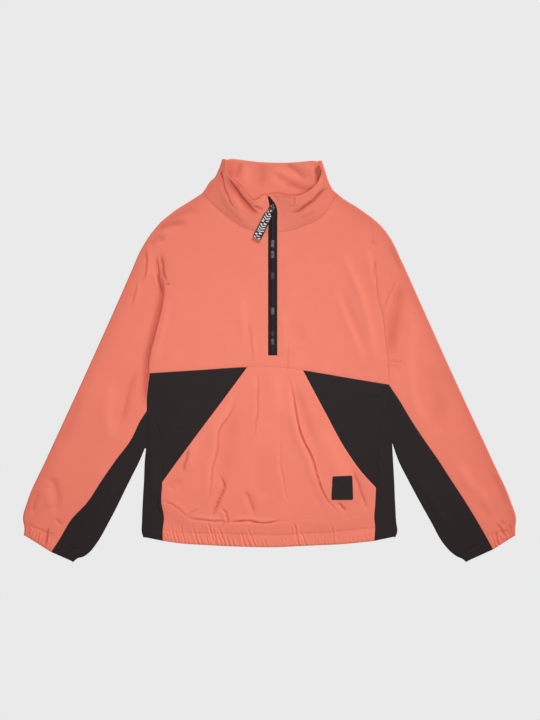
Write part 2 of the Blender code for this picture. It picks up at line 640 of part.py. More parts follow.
def lower_front(pattern, look, collection):
    """The lower front, which runs on behind the pocket to the bag's stitch line."""
    steps = sum(leg.steps for leg in SIDE_SEAM_LEGS[:2])
    edges = {}
    for side in ("left", "right"):
        arm = pattern.armhole[side][YOKE_STEPS:SIDE_SEAM_AT + 1]
        edges[side] = np.vstack([arm, pattern.seam[side][1:steps + 1]])
    bag = whole([tuple(edges["left"][-1])] + BAG_LINE[1:-1] + [tuple(edges["right"][-1])],
                len(pattern.yoke_seam) - 1)
    sides = inset([("top", pattern.yoke_seam, SEAM / 2), ("right", edges["right"], SEAM / 2),
                   ("bag", bag[::-1], SEAM / 2), ("left", edges["left"][::-1], SEAM / 2)])
    flat = patch(sides["left"][::-1], sides["right"], sides["top"], sides["bag"][::-1])
    outer, inner = sheet(flat, lambda i, j, x, y: TOP, lambda j: CLOTH)
    return cloth("lower_front", outer, inner, look, collection)


def pocket_height(x, y, bag):
    """Outer face of the pocket: above the lower front, then down to its level at the casing."""
    above = y - np.interp(x, bag[:, 0], bag[:, 1])
    drop = min(1, max(0, (-above - 4) / 14))
    return TOP + (SEAM + CLOTH) * (1 - drop * drop * (3 - 2 * drop))


def pocket_panel(pattern, look, collection):
    bag = np.array(BAG_LINE)
    corner = SIDE_SEAM_LEGS[0].steps
    edges = {}
    for side in ("left", "right"):
        seam = pattern.seam[side][corner:]
        mouth = whole(POCKET_MOUTH[side][:-1] + [tuple(seam[0])], POCKET_MOUTH_STEPS)
        edges[side] = np.vstack([mouth, seam[1:]])
    top = np.linspace(edges["left"][0], edges["right"][0], 2 * POCKET_GATHERS + 1)
    sides = inset([("top", top, SEAM / 2), ("right", edges["right"], SEAM / 2),
                   ("hem", pattern.hem[::-1], 0), ("left", edges["left"][::-1], SEAM / 2)])
    flat = patch(sides["left"][::-1], sides["right"], sides["top"], sides["hem"][::-1])
    rows, columns = flat.shape[1] - 1, flat.shape[0] - 1

    def height(i, j, x, y):
        ruffle = gather(i, rows - j) if 0 < i < columns else 0
        return pocket_height(x, y, bag) + lift("pocket", x, y) + ruffle

    outer, inner = sheet(flat, height, lambda j: casing_wall(rows - j))
    return cloth("pocket_panel", outer, inner, look, collection)


def collar_side(side, pattern):
    """Points of the collar's fold, row by row up the collar: silhouette, direction and radius."""
    rim = whole(COLLAR_SIDE[side], COLLAR_STEPS)
    ways = inward(rim, np.stack([np.zeros(len(rim)), rim[:, 1]], axis=1))
    ways[0] = pattern.shoulder[side][1][-1]
    ways[-1] = unit(ways[-1] + np.array([0, -0.35]))
    radii = ROLL + (COLLAR_TURN - ROLL) * np.linspace(0, 1, COLLAR_STEPS + 1)
    return rim, ways, radii


def collar_front(side, pattern, tops):
    """Grid of the collar's front on one side, from the zip to the fold."""
    neck = pattern.neck[side][::-1]
    seam = np.column_stack([neck, np.full(len(neck), TOP)])
    rim = whole(COLLAR_RIM[side] + [tuple(tops[-1])], NECK_STEPS)
    end = whole(COLLAR_END[side], COLLAR_STEPS)
    grid = patch(end, tops, seam, rim)
    for i in range(1, NECK_STEPS):
        for j in range(1, COLLAR_STEPS + 1):
            u, v = i / NECK_STEPS, j / COLLAR_STEPS
            grid[i, j, 2] += 2.0 * math.sin(math.pi * u) * math.sin(math.pi * min(v, 0.9))
            for fold in COLLAR_FOLDS:
                if fold.side == side:
                    off = (u - fold.at - fold.slant * (1 - v)) / fold.width
                    grid[i, j, 2] += fold.height * math.exp(-off * off) * math.sin(math.pi * u) * v
    return grid


def collar(pattern, look, collection):
    """The stand collar, a ring that lies folded: front left, fold, back, fold, front right."""
    fronts, turns, backs = {}, {}, {}
    for side in ("left", "right"):
        rim, ways, radii = collar_side(side, pattern)
        flat = rim + ways * radii[:, None]
        tops = np.column_stack([flat, 2 * radii])
        fronts[side] = collar_front(side, pattern, tops)
        backs[side] = np.column_stack([flat, np.zeros(len(flat))])
        arc = []
        for k in range(1, ROLL_STEPS + 1):
            turn = math.pi * k / (ROLL_STEPS + 1)
            spot = flat - ways * (radii * math.sin(turn))[:, None]
            arc.append(np.column_stack([spot, radii * (1 + math.cos(turn))]))
        turns[side] = np.array(arc)
    low = np.column_stack([pattern.back_neck, np.zeros(len(pattern.back_neck))])
    high = whole([tuple(backs["left"][-1][:2])] + BACK_RIM + [tuple(backs["right"][-1][:2])],
                 BACK_NECK_STEPS)
    high = np.column_stack([high, np.zeros(len(high))])
    behind = patch(backs["left"], backs["right"], low, high)
    outer = np.concatenate([fronts["left"], turns["left"], behind, turns["right"][::-1],
                            fronts["right"][::-1]], axis=0)
    along = np.gradient(outer, axis=0)
    up = np.gradient(outer, axis=1)
    normal = np.cross(up, along)
    normal /= np.linalg.norm(normal, axis=2)[:, :, None]
    first = len(fronts["left"]) + ROLL_STEPS
    normal[first + 1:first + len(behind) - 1] = (0, 0, -1)
    wall = np.array([CLOTH] + [COLLAR_WALL] * COLLAR_STEPS)[None, :, None]
    outer[:, 0] += unit_rows(outer[:, 1] - outer[:, 0]) * SEAM / 2
    outer[0] += unit_rows(outer[1] - outer[0]) * SEAM / 2
    outer[-1] += unit_rows(outer[-2] - outer[-1]) * SEAM / 2
    inner = outer - normal * wall
    return cloth("collar", outer, inner, look, collection)


def zip_edges(y):
    """The slot's two edges and the height of the cloth beside it, at one place along the zip."""
    edges = []
    for side, foot in (("left", ZIP_LEFT), ("right", ZIP_RIGHT)):
        rows = whole(COLLAR_END[side], COLLAR_STEPS)
        edges.append(np.interp(y, rows[:, 1], rows[:, 0], left=foot))
    return (*edges, np.interp(y, rows[:, 1], rows[:, 2], left=TOP))


def zip_strip(name, low, high, width, lowest, wall, look, collection, columns):
    """A strip along the zip: its width, or the slot's, with its underside at a height above it."""
    steps = 20
    outer, inner = [np.zeros((columns + 1, steps + 1, 3)) for _ in range(2)]
    for j, y in enumerate(np.linspace(low, high, steps + 1)):
        left, right, top = zip_edges(y)
        half = width / 2 if width else (right - left) / 2 - SEAM
        middle = (left + right) / 2
        for i, x in enumerate(np.linspace(middle - half, middle + half, columns + 1)):
            inner[i, j] = x, y, top + lowest
            outer[i, j] = x, y, top + lowest + wall
    return cloth(name, outer, inner, look, collection)


def box(name, size, middle, bevel, collection):
    """A box with rounded edges."""
    mesh = bmesh.new()
    bmesh.ops.create_cube(mesh, size=1)
    bmesh.ops.scale(mesh, vec=Vector(size) * MM, verts=mesh.verts)
    data = bpy.data.meshes.new(name)
    mesh.to_mesh(data)
    mesh.free()
    thing = bpy.data.objects.new(name, data)
    thing.location = Vector(middle) * MM
    collection.objects.link(thing)
    if bevel:
        edge = thing.modifiers.new("rounded", "BEVEL")
        edge.width, edge.segments = bevel * MM, 2
    return thing


def zip_slider(look, collection, cutters):
    """The slider's plate with the bridge that holds the pull."""
    x, y = SLIDER_AT
    top = SLIDER_BASE + SLIDER_SIZE[2]
    body = box("zip_slider", SLIDER_SIZE, (x, y, SLIDER_BASE + SLIDER_SIZE[2] / 2), 0.7, collection)
    body.data.materials.append(look)
    bridge = box("bridge", BRIDGE_SIZE, (x, y, top - BRIDGE_SUNK + BRIDGE_SIZE[2] / 2), 0.6, cutters)
    hole = box("bridge_hole", BRIDGE_HOLE, (x, y, HINGE_HEIGHT), 0, cutters)
    for cutter, job in ((bridge, "UNION"), (hole, "DIFFERENCE")):
        cutter.hide_render, cutter.display_type = True, "WIRE"
        cut = body.modifiers.new(cutter.name, "BOOLEAN")
        cut.object, cut.operation, cut.solver = cutter, job, "EXACT"
    return body


class Pull:
    """The pull's own directions: across is its hinge's axis, along runs to the ribbon's free end."""

    def __init__(self):
        self.hinge = np.array([*SLIDER_AT, HINGE_HEIGHT])
        flat = unit(np.array(PULL_END) - SLIDER_AT)
        drop = (HINGE_HEIGHT - PULL_END_HEIGHT) / RIBBON_REACH
        self.along = unit(np.array([*flat, -drop]))
        self.across = np.array([-flat[1], flat[0], 0])
        self.up = np.cross(self.along, self.across)
        self.up *= np.sign(self.up[2])

    def at(self, across, along, up):
        return self.hinge + across * self.across + along * self.along + up * self.up


def pull_ring(pull, look, collection):
    """A wire ring with rounded corners; one of its bars turns in the slider's bridge."""
    points = []
    half = RING_SIZE[0] / 2 - RING_CORNER
    for k, (a, r) in enumerate([(half, RING_CORNER), (half, RING_SIZE[1] - RING_CORNER),
                                (-half, RING_SIZE[1] - RING_CORNER), (-half, RING_CORNER)]):
        for turn in np.radians([-90, -60, -30, 0]) + k * math.pi / 2:
            points.append(pull.at(a + RING_CORNER * math.cos(turn), r + RING_CORNER * math.sin(turn), 0))
    curve = bpy.data.curves.new("pull_ring", "CURVE")
    curve.dimensions, curve.bevel_depth, curve.bevel_resolution = "3D", RING_WIRE * MM, 2
    line = curve.splines.new("POLY")
    line.points.add(len(points) - 1)
    for point, place in zip(line.points, points):
        point.co = (*(place * MM), 1)
    line.use_cyclic_u = True
    ring = bpy.data.objects.new("pull_ring", curve)
    curve.materials.append(look)
    collection.objects.link(ring)
    return ring


def pull_ribbon(pull, look, collection):
    """A ribbon folded round the ring's far bar; its two layers lie on each other."""
    layer = (RIBBON_WALL + SEAM) / 2
    loop = RING_WIRE + SEAM + RIBBON_WALL / 2
    bar = RING_SIZE[1]
    reach = np.linspace(RIBBON_REACH, bar + RIBBON_TAPER, 5)
    way = [(r, -layer) for r in reach] + [(bar + 5, -layer), (bar + 2, -0.7 * loop)]
    way += [(bar - loop * math.sin(t), -loop * math.cos(t)) for t in np.linspace(0, math.pi, 7)]
    way += [(r, -up) for r, up in way[:7][::-1]]
    way = np.array(way)
    tangent = np.gradient(way, axis=0)
    square = np.stack([tangent[:, 1], -tangent[:, 0]], axis=1)
    square /= np.linalg.norm(square, axis=1)[:, None]
    outer, inner = [np.zeros((3, len(way), 3)) for _ in range(2)]
    for j, (spot, normal) in enumerate(zip(way, square)):
        wide = np.interp(spot[0], [bar + 1, bar + RIBBON_TAPER], [RIBBON_NECK, RIBBON_WIDTH])
        for i, side in enumerate((-0.5, 0, 0.5)):
            for grid, out in ((outer, -0.5), (inner, 0.5)):
                r, up = spot + normal * out * RIBBON_WALL
                grid[i, j] = pull.at(side * wide, r, up)
    return cloth("pull_ribbon", outer, inner, look, collection)


def label_patch(panel, look, collection):
    """The label, laid on the pocket's own surface."""
    points = [v.co for v in panel.data.vertices]
    tree = BVHTree.FromPolygons(points, [tuple(p.vertices) for p in panel.data.polygons])
    a, b, c, d = [np.array(corner, float) for corner in LABEL]
    edges = [np.linspace(p, q, LABEL_STEPS + 1) for p, q in ((d, a), (c, b), (d, c), (a, b))]
    flat = patch(*edges)

    def height(i, j, x, y):
        hit = tree.ray_cast(Vector((x * MM, y * MM, 1)), Vector((0, 0, -1)))[0]
        return hit.z / MM + SEAM + LABEL_WALL

    outer, inner = sheet(flat, height, lambda j: LABEL_WALL)
    return cloth("label_patch", outer, inner, look, collection)


def unit_rows(vectors):
    return vectors / np.linalg.norm(vectors, axis=1)[:, None]


def build():
    for thing in list(bpy.data.objects):
        bpy.data.objects.remove(thing)
    group = bpy.data.collections.new("softshell_pullover")
    cutters = bpy.data.collections.new("cutters")
    for collection in (group, cutters):
        bpy.context.scene.collection.children.link(collection)
    coral = material("coral_softshell", CORAL, 0.85)
    black = material("black_softshell", BLACK, 0.85)
    pattern = Pattern()
    back(pattern, coral, group)
    front_yoke(pattern, coral, group)
    lower_front(pattern, black, group)
    pocket = pocket_panel(pattern, coral, group)
    for side in ("left", "right"):
        side_panel(side, pattern, black, group)
        sleeve(side, pattern, coral, group)
        gusset(side, pattern, black, group)
    collar(pattern, coral, group)
    tape = material("zip_tape_black", BLACK, 0.7)
    zip_strip("zip_tape", ZIP_BOTTOM + SEAM, TAPE_TOP, None, -TAPE_SUNK - TAPE_WALL, TAPE_WALL,
              tape, group, 4)
    zip_strip("zip_chain", ZIP_BOTTOM + 3, CHAIN_TOP, CHAIN_WIDTH, SEAM - TAPE_SUNK, CHAIN_WALL,
              material("zip_chain_black", BLACK, 0.45), group, 2)
    zip_slider(material("slider_metal", METAL, 0.35, 1.0), group, cutters)
    pull = Pull()
    pull_ring(pull, material("ring_metal", METAL, 0.35, 1.0), group)
    pull_ribbon(pull, material("pull_ribbon_weave", RIBBON, 0.8), group)
    label_patch(pocket, material("label_black", LABEL_BLACK, 0.75), group)


build()
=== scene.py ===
import math
from collections import namedtuple

import bpy
import numpy as np
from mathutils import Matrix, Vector
from mathutils.bvhtree import BVHTree


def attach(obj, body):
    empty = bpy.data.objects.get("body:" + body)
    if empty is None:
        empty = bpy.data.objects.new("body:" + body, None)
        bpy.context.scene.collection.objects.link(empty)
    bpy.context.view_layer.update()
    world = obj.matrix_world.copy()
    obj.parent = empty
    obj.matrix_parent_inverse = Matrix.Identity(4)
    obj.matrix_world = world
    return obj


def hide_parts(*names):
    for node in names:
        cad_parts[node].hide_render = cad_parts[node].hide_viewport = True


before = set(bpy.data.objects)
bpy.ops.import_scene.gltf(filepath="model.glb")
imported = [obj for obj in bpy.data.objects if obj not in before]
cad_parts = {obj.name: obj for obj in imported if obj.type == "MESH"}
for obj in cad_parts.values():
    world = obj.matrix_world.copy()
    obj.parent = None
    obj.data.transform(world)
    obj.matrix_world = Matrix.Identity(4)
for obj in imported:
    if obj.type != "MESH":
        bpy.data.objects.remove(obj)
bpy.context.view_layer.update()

SIDES = ("left", "right")

# ---------------------------------------------------------------- sizes
MM = 0.001
CLOTH = 1.3             # one layer of softshell
DOUBLE = 2.4            # cloth turned back on itself at the hem and cuffs
COLLAR_WALL = 2.2       # the collar's two layers
THIN = 0.7              # and what is left of them under the deepest hollow
INSIDE_TONE = 2.6       # how much stronger the painted shade and highlight of its folds are inside, where less light reaches
ROLL = 3.0              # radius of the turned edge at the silhouette
TOP = 2 * ROLL          # height of the upper layer's face
SEAM = 0.3              # gap between a piece and what lies on it
SEWN = 0.12             # gap between two sewn edges
CASING = 16.0           # depth of the doubled cloth at the hem and cuffs

# Outlines, x and y by side, as the solids have them.
SHOULDER = {
    "left": [(-190, 241), (-163.5, 262), (-141, 276), (-118, 291)],
    "right": [(179.5, 248), (149.5, 269), (127, 283), (119, 290)],
}
SLEEVE_OUTER = {
    "left": [(-190, 241), (-207.5, 220), (-225, 192), (-240.5, 157), (-263.5, 104.5), (-326.5, -35.5),
             (-391, -175.5), (-422.5, -245.5), (-431, -278.5), (-428.5, -294.5), (-429.5, -307.5)],
    "right": [(179.5, 248), (195, 234), (211, 213), (230, 174.5), (261.5, 104.5), (324.5, -35.5),
              (389.5, -175.5), (421, -245.5), (431, -279.5), (429.5, -295.5), (429.5, -308.5)],
}
SLEEVE_INNER = {
    "left": [(-215, -147.5), (-226.5, -175.5), (-244, -210.5), (-279, -280.5), (-303.5, -323),
             (-313.5, -335.5), (-326, -344.5), (-335, -347), (-344, -354)],
    "right": [(214.5, -145.5), (225, -175.5), (242.5, -210.5), (281, -281), (306, -324),
              (318, -337), (331, -345.5), (335, -347), (344.5, -354)],
}
GUSSET_SEAM = {
    "left": [(-214.5, -89.5), (-225, -105.5), (-242.5, -140.5), (-268.5, -175.5), (-293, -210.5),
             (-319.5, -250.5), (-345, -277.5), (-368, -315.5), (-381.5, -336)],
    "right": [(208.5, -43.5), (226.5, -70.5), (247.5, -105.5), (270.5, -140.5), (295, -175.5),
              (317.5, -210.5), (340.5, -245.5), (378, -308.5), (390.5, -331.5)],
}
ARMHOLE = {
    "left": [(-190, 241), (-190, 209.5), (-191, 180), (-187, 150), (-181.5, 131), (-184, 107),
             (-198.5, 45), (-208, 3), (-209.5, -23.5), (-214.5, -70.5), (-214.5, -89.5), (-215, -147.5)],
    "right": [(179.5, 248), (181, 209.5), (185, 173.5), (186, 145), (189.5, 110), (198, 73),
              (201, 45), (206, 6.5), (208.5, -43.5), (209, -70.5), (211, -109), (214.5, -145.5)],
}
ARMHOLE_SHOWS = {"left": 180, "right": 172}     # heights up the body above which the seam lies flat
YOKE_ROW, SIDE_ROW = 8, 9                   # rows of the armhole where the lower front and side start
GUSSET_ROW = {"left": 10, "right": 8}       # and the gusset
BODY_SIDE = {
    "left": [(-215, -147.5), (-218, -175.5), (-219.5, -210.5), (-221.5, -245.5), (-223, -282),
             (-223, -303), (-220.5, -311)],
    "right": [(214.5, -145.5), (216, -175.5), (218, -210.5), (219.5, -245.5), (221.5, -282),
              (223, -303), (220, -310.5)],
}
SIDE_SEAM = {
    "left": [(-214.5, -70.5), (-200.5, -102), (-191.5, -133.5), (-189.5, -172), (-187.5, -214),
             (-189, -247), (-184.5, -278.5), (-186.5, -296), (-186.5, -316.5)],
    "right": [(209, -70.5), (193.5, -118), (188, -147.5), (188.5, -172), (186, -223.5),
              (184.5, -254), (183, -275), (184.5, -293.5), (183, -316.5)],
}
MOUTH_ROW, BAG_ROW = 4, 5                   # rows of the side seam at the pocket's corner and bag
POCKET_TOP = (2, 4)                         # rows of the yoke seam that the pocket's top runs between
POCKET_MOUTH = {
    "left": [(-39, -13), (-81.5, -70.5), (-134, -140.5), (-172.5, -193), (-187.5, -214)],
    "right": [(58.5, -18.5), (95.5, -88), (134, -158), (158.5, -193), (186, -223.5)],
}
YOKE_SEAM = [(-209.5, -23.5), (-121.5, -18), (-39, -13), (17, -13.5), (58.5, -18.5), (133, -31),
             (208.5, -43.5)]
HEM = [(-186.5, -316.5), (-148.5, -321.5), (-115, -323.5), (-51.5, -326.5), (9, -327.5), (65, -325),
       (135.5, -321.5), (183, -316.5)]
BAG_LINE = [(-189, -247), (-164, -257.5), (-139, -277), (-109.5, -281.5), (-69, -285.5),
            (-30.5, -281.5), (14, -283), (53.5, -278.5), (128.5, -278.5), (155, -270), (184.5, -254)]
ZIP_LEFT, ZIP_RIGHT, ZIP_BOTTOM = -2.5, 13.5, 7.5
NECK = {
    "left": [(-108, 280), (-89, 261.5), (-70.5, 246.5), (-52, 234), (-29.5, 225), (ZIP_LEFT, 221)],
    "right": [(106, 269), (86, 245.5), (59.5, 233.5), (37.5, 226), (ZIP_RIGHT, 222.5)],
}
BACK_NECK = [(-83, 278), (-43, 271), (4.5, 268), (53.5, 271), (88.5, 278)]
COLLAR_SIDE = {
    "left": [(-118, 291), (-114, 296), (-104, 311), (-95.5, 319), (-89, 332), (-82.3, 350.8)],
    "right": [(119, 290), (111, 297), (104, 309.5), (97, 330.5), (91.3, 348)],
}
# Collar's end along the zip and its top edge: x, y and the height of the outer face.
COLLAR_END = {
    "left": [(ZIP_LEFT, 221, TOP), (-1.5, 243, 7.2), (0.2, 262, 8.4), (-0.6, 272, 9), (-4.4, 288, 9.6)],
    "right": [(ZIP_RIGHT, 222.5, TOP), (13.5, 243, 7.2), (13.3, 262, 8.4), (11, 270, 9), (5, 279, 9.4),
              (-1.8, 288.6, 9.6)],
}
COLLAR_RIM = {
    "left": [(-4.4, 288, 9.6), (-13, 286, 11), (-19.5, 280, 12.5), (-27, 277, 14), (-34.5, 282, 15),
             (-44.5, 294, 15.8), (-54.5, 305.5, 16), (-67, 316, 15.6), (-73.5, 326, 15), (-78, 339, 14)],
    "right": [(-1.8, 288.6, 9.6), (7, 290, 10.5), (16, 289, 12), (29, 286, 14), (43, 284.5, 15.5),
              (54, 286.5, 16), (67, 293, 16), (80, 304, 15.6), (88, 317, 15), (91, 333, 14)],
}
COLLAR_TURN = 6.2       # radius of the collar's fold at its top edge
COLLAR_BULGE = 2.0      # how far each front stands proud in its middle
BACK_RIM = [(-66, 351.4), (-52, 350), (-39.5, 348.5), (-20, 346.2), (2, 345), (43, 345.4), (62, 347),
            (76, 348.2)]

# Stitch lines of the turned-up hem, past the side panels to the silhouette.
HEM_STITCH = [(-222, -283), (-186.5, -295.7), (-170.8, -300.2), (-144, -302.3), (-104.1, -302.8),
              (-59.2, -303.9), (-25.4, -304.6), (8.9, -305.6), (53.4, -303.5), (110.2, -300),
              (141.6, -296.7), (184, -292.9), (221, -283)]
CUFF_STITCH = {
    "left": [(-429, -280), (-409, -294), (-392.5, -300.5), (-383, -305), (-367.5, -302.7)],
    "right": [(383, -310), (392, -305), (400.4, -301.5), (411.4, -299), (427, -297)],
}
MOUTH_STITCH = 3.2      # top stitching beside a pocket mouth
ZIP_STITCH = 4.5        # and beside the zip
NECK_STITCH = {"left": -5.0, "right": 5.0}     # top stitching below the neck seam, to its right or left
RIM_STITCH = 4.5        # line beside the collar's top edge

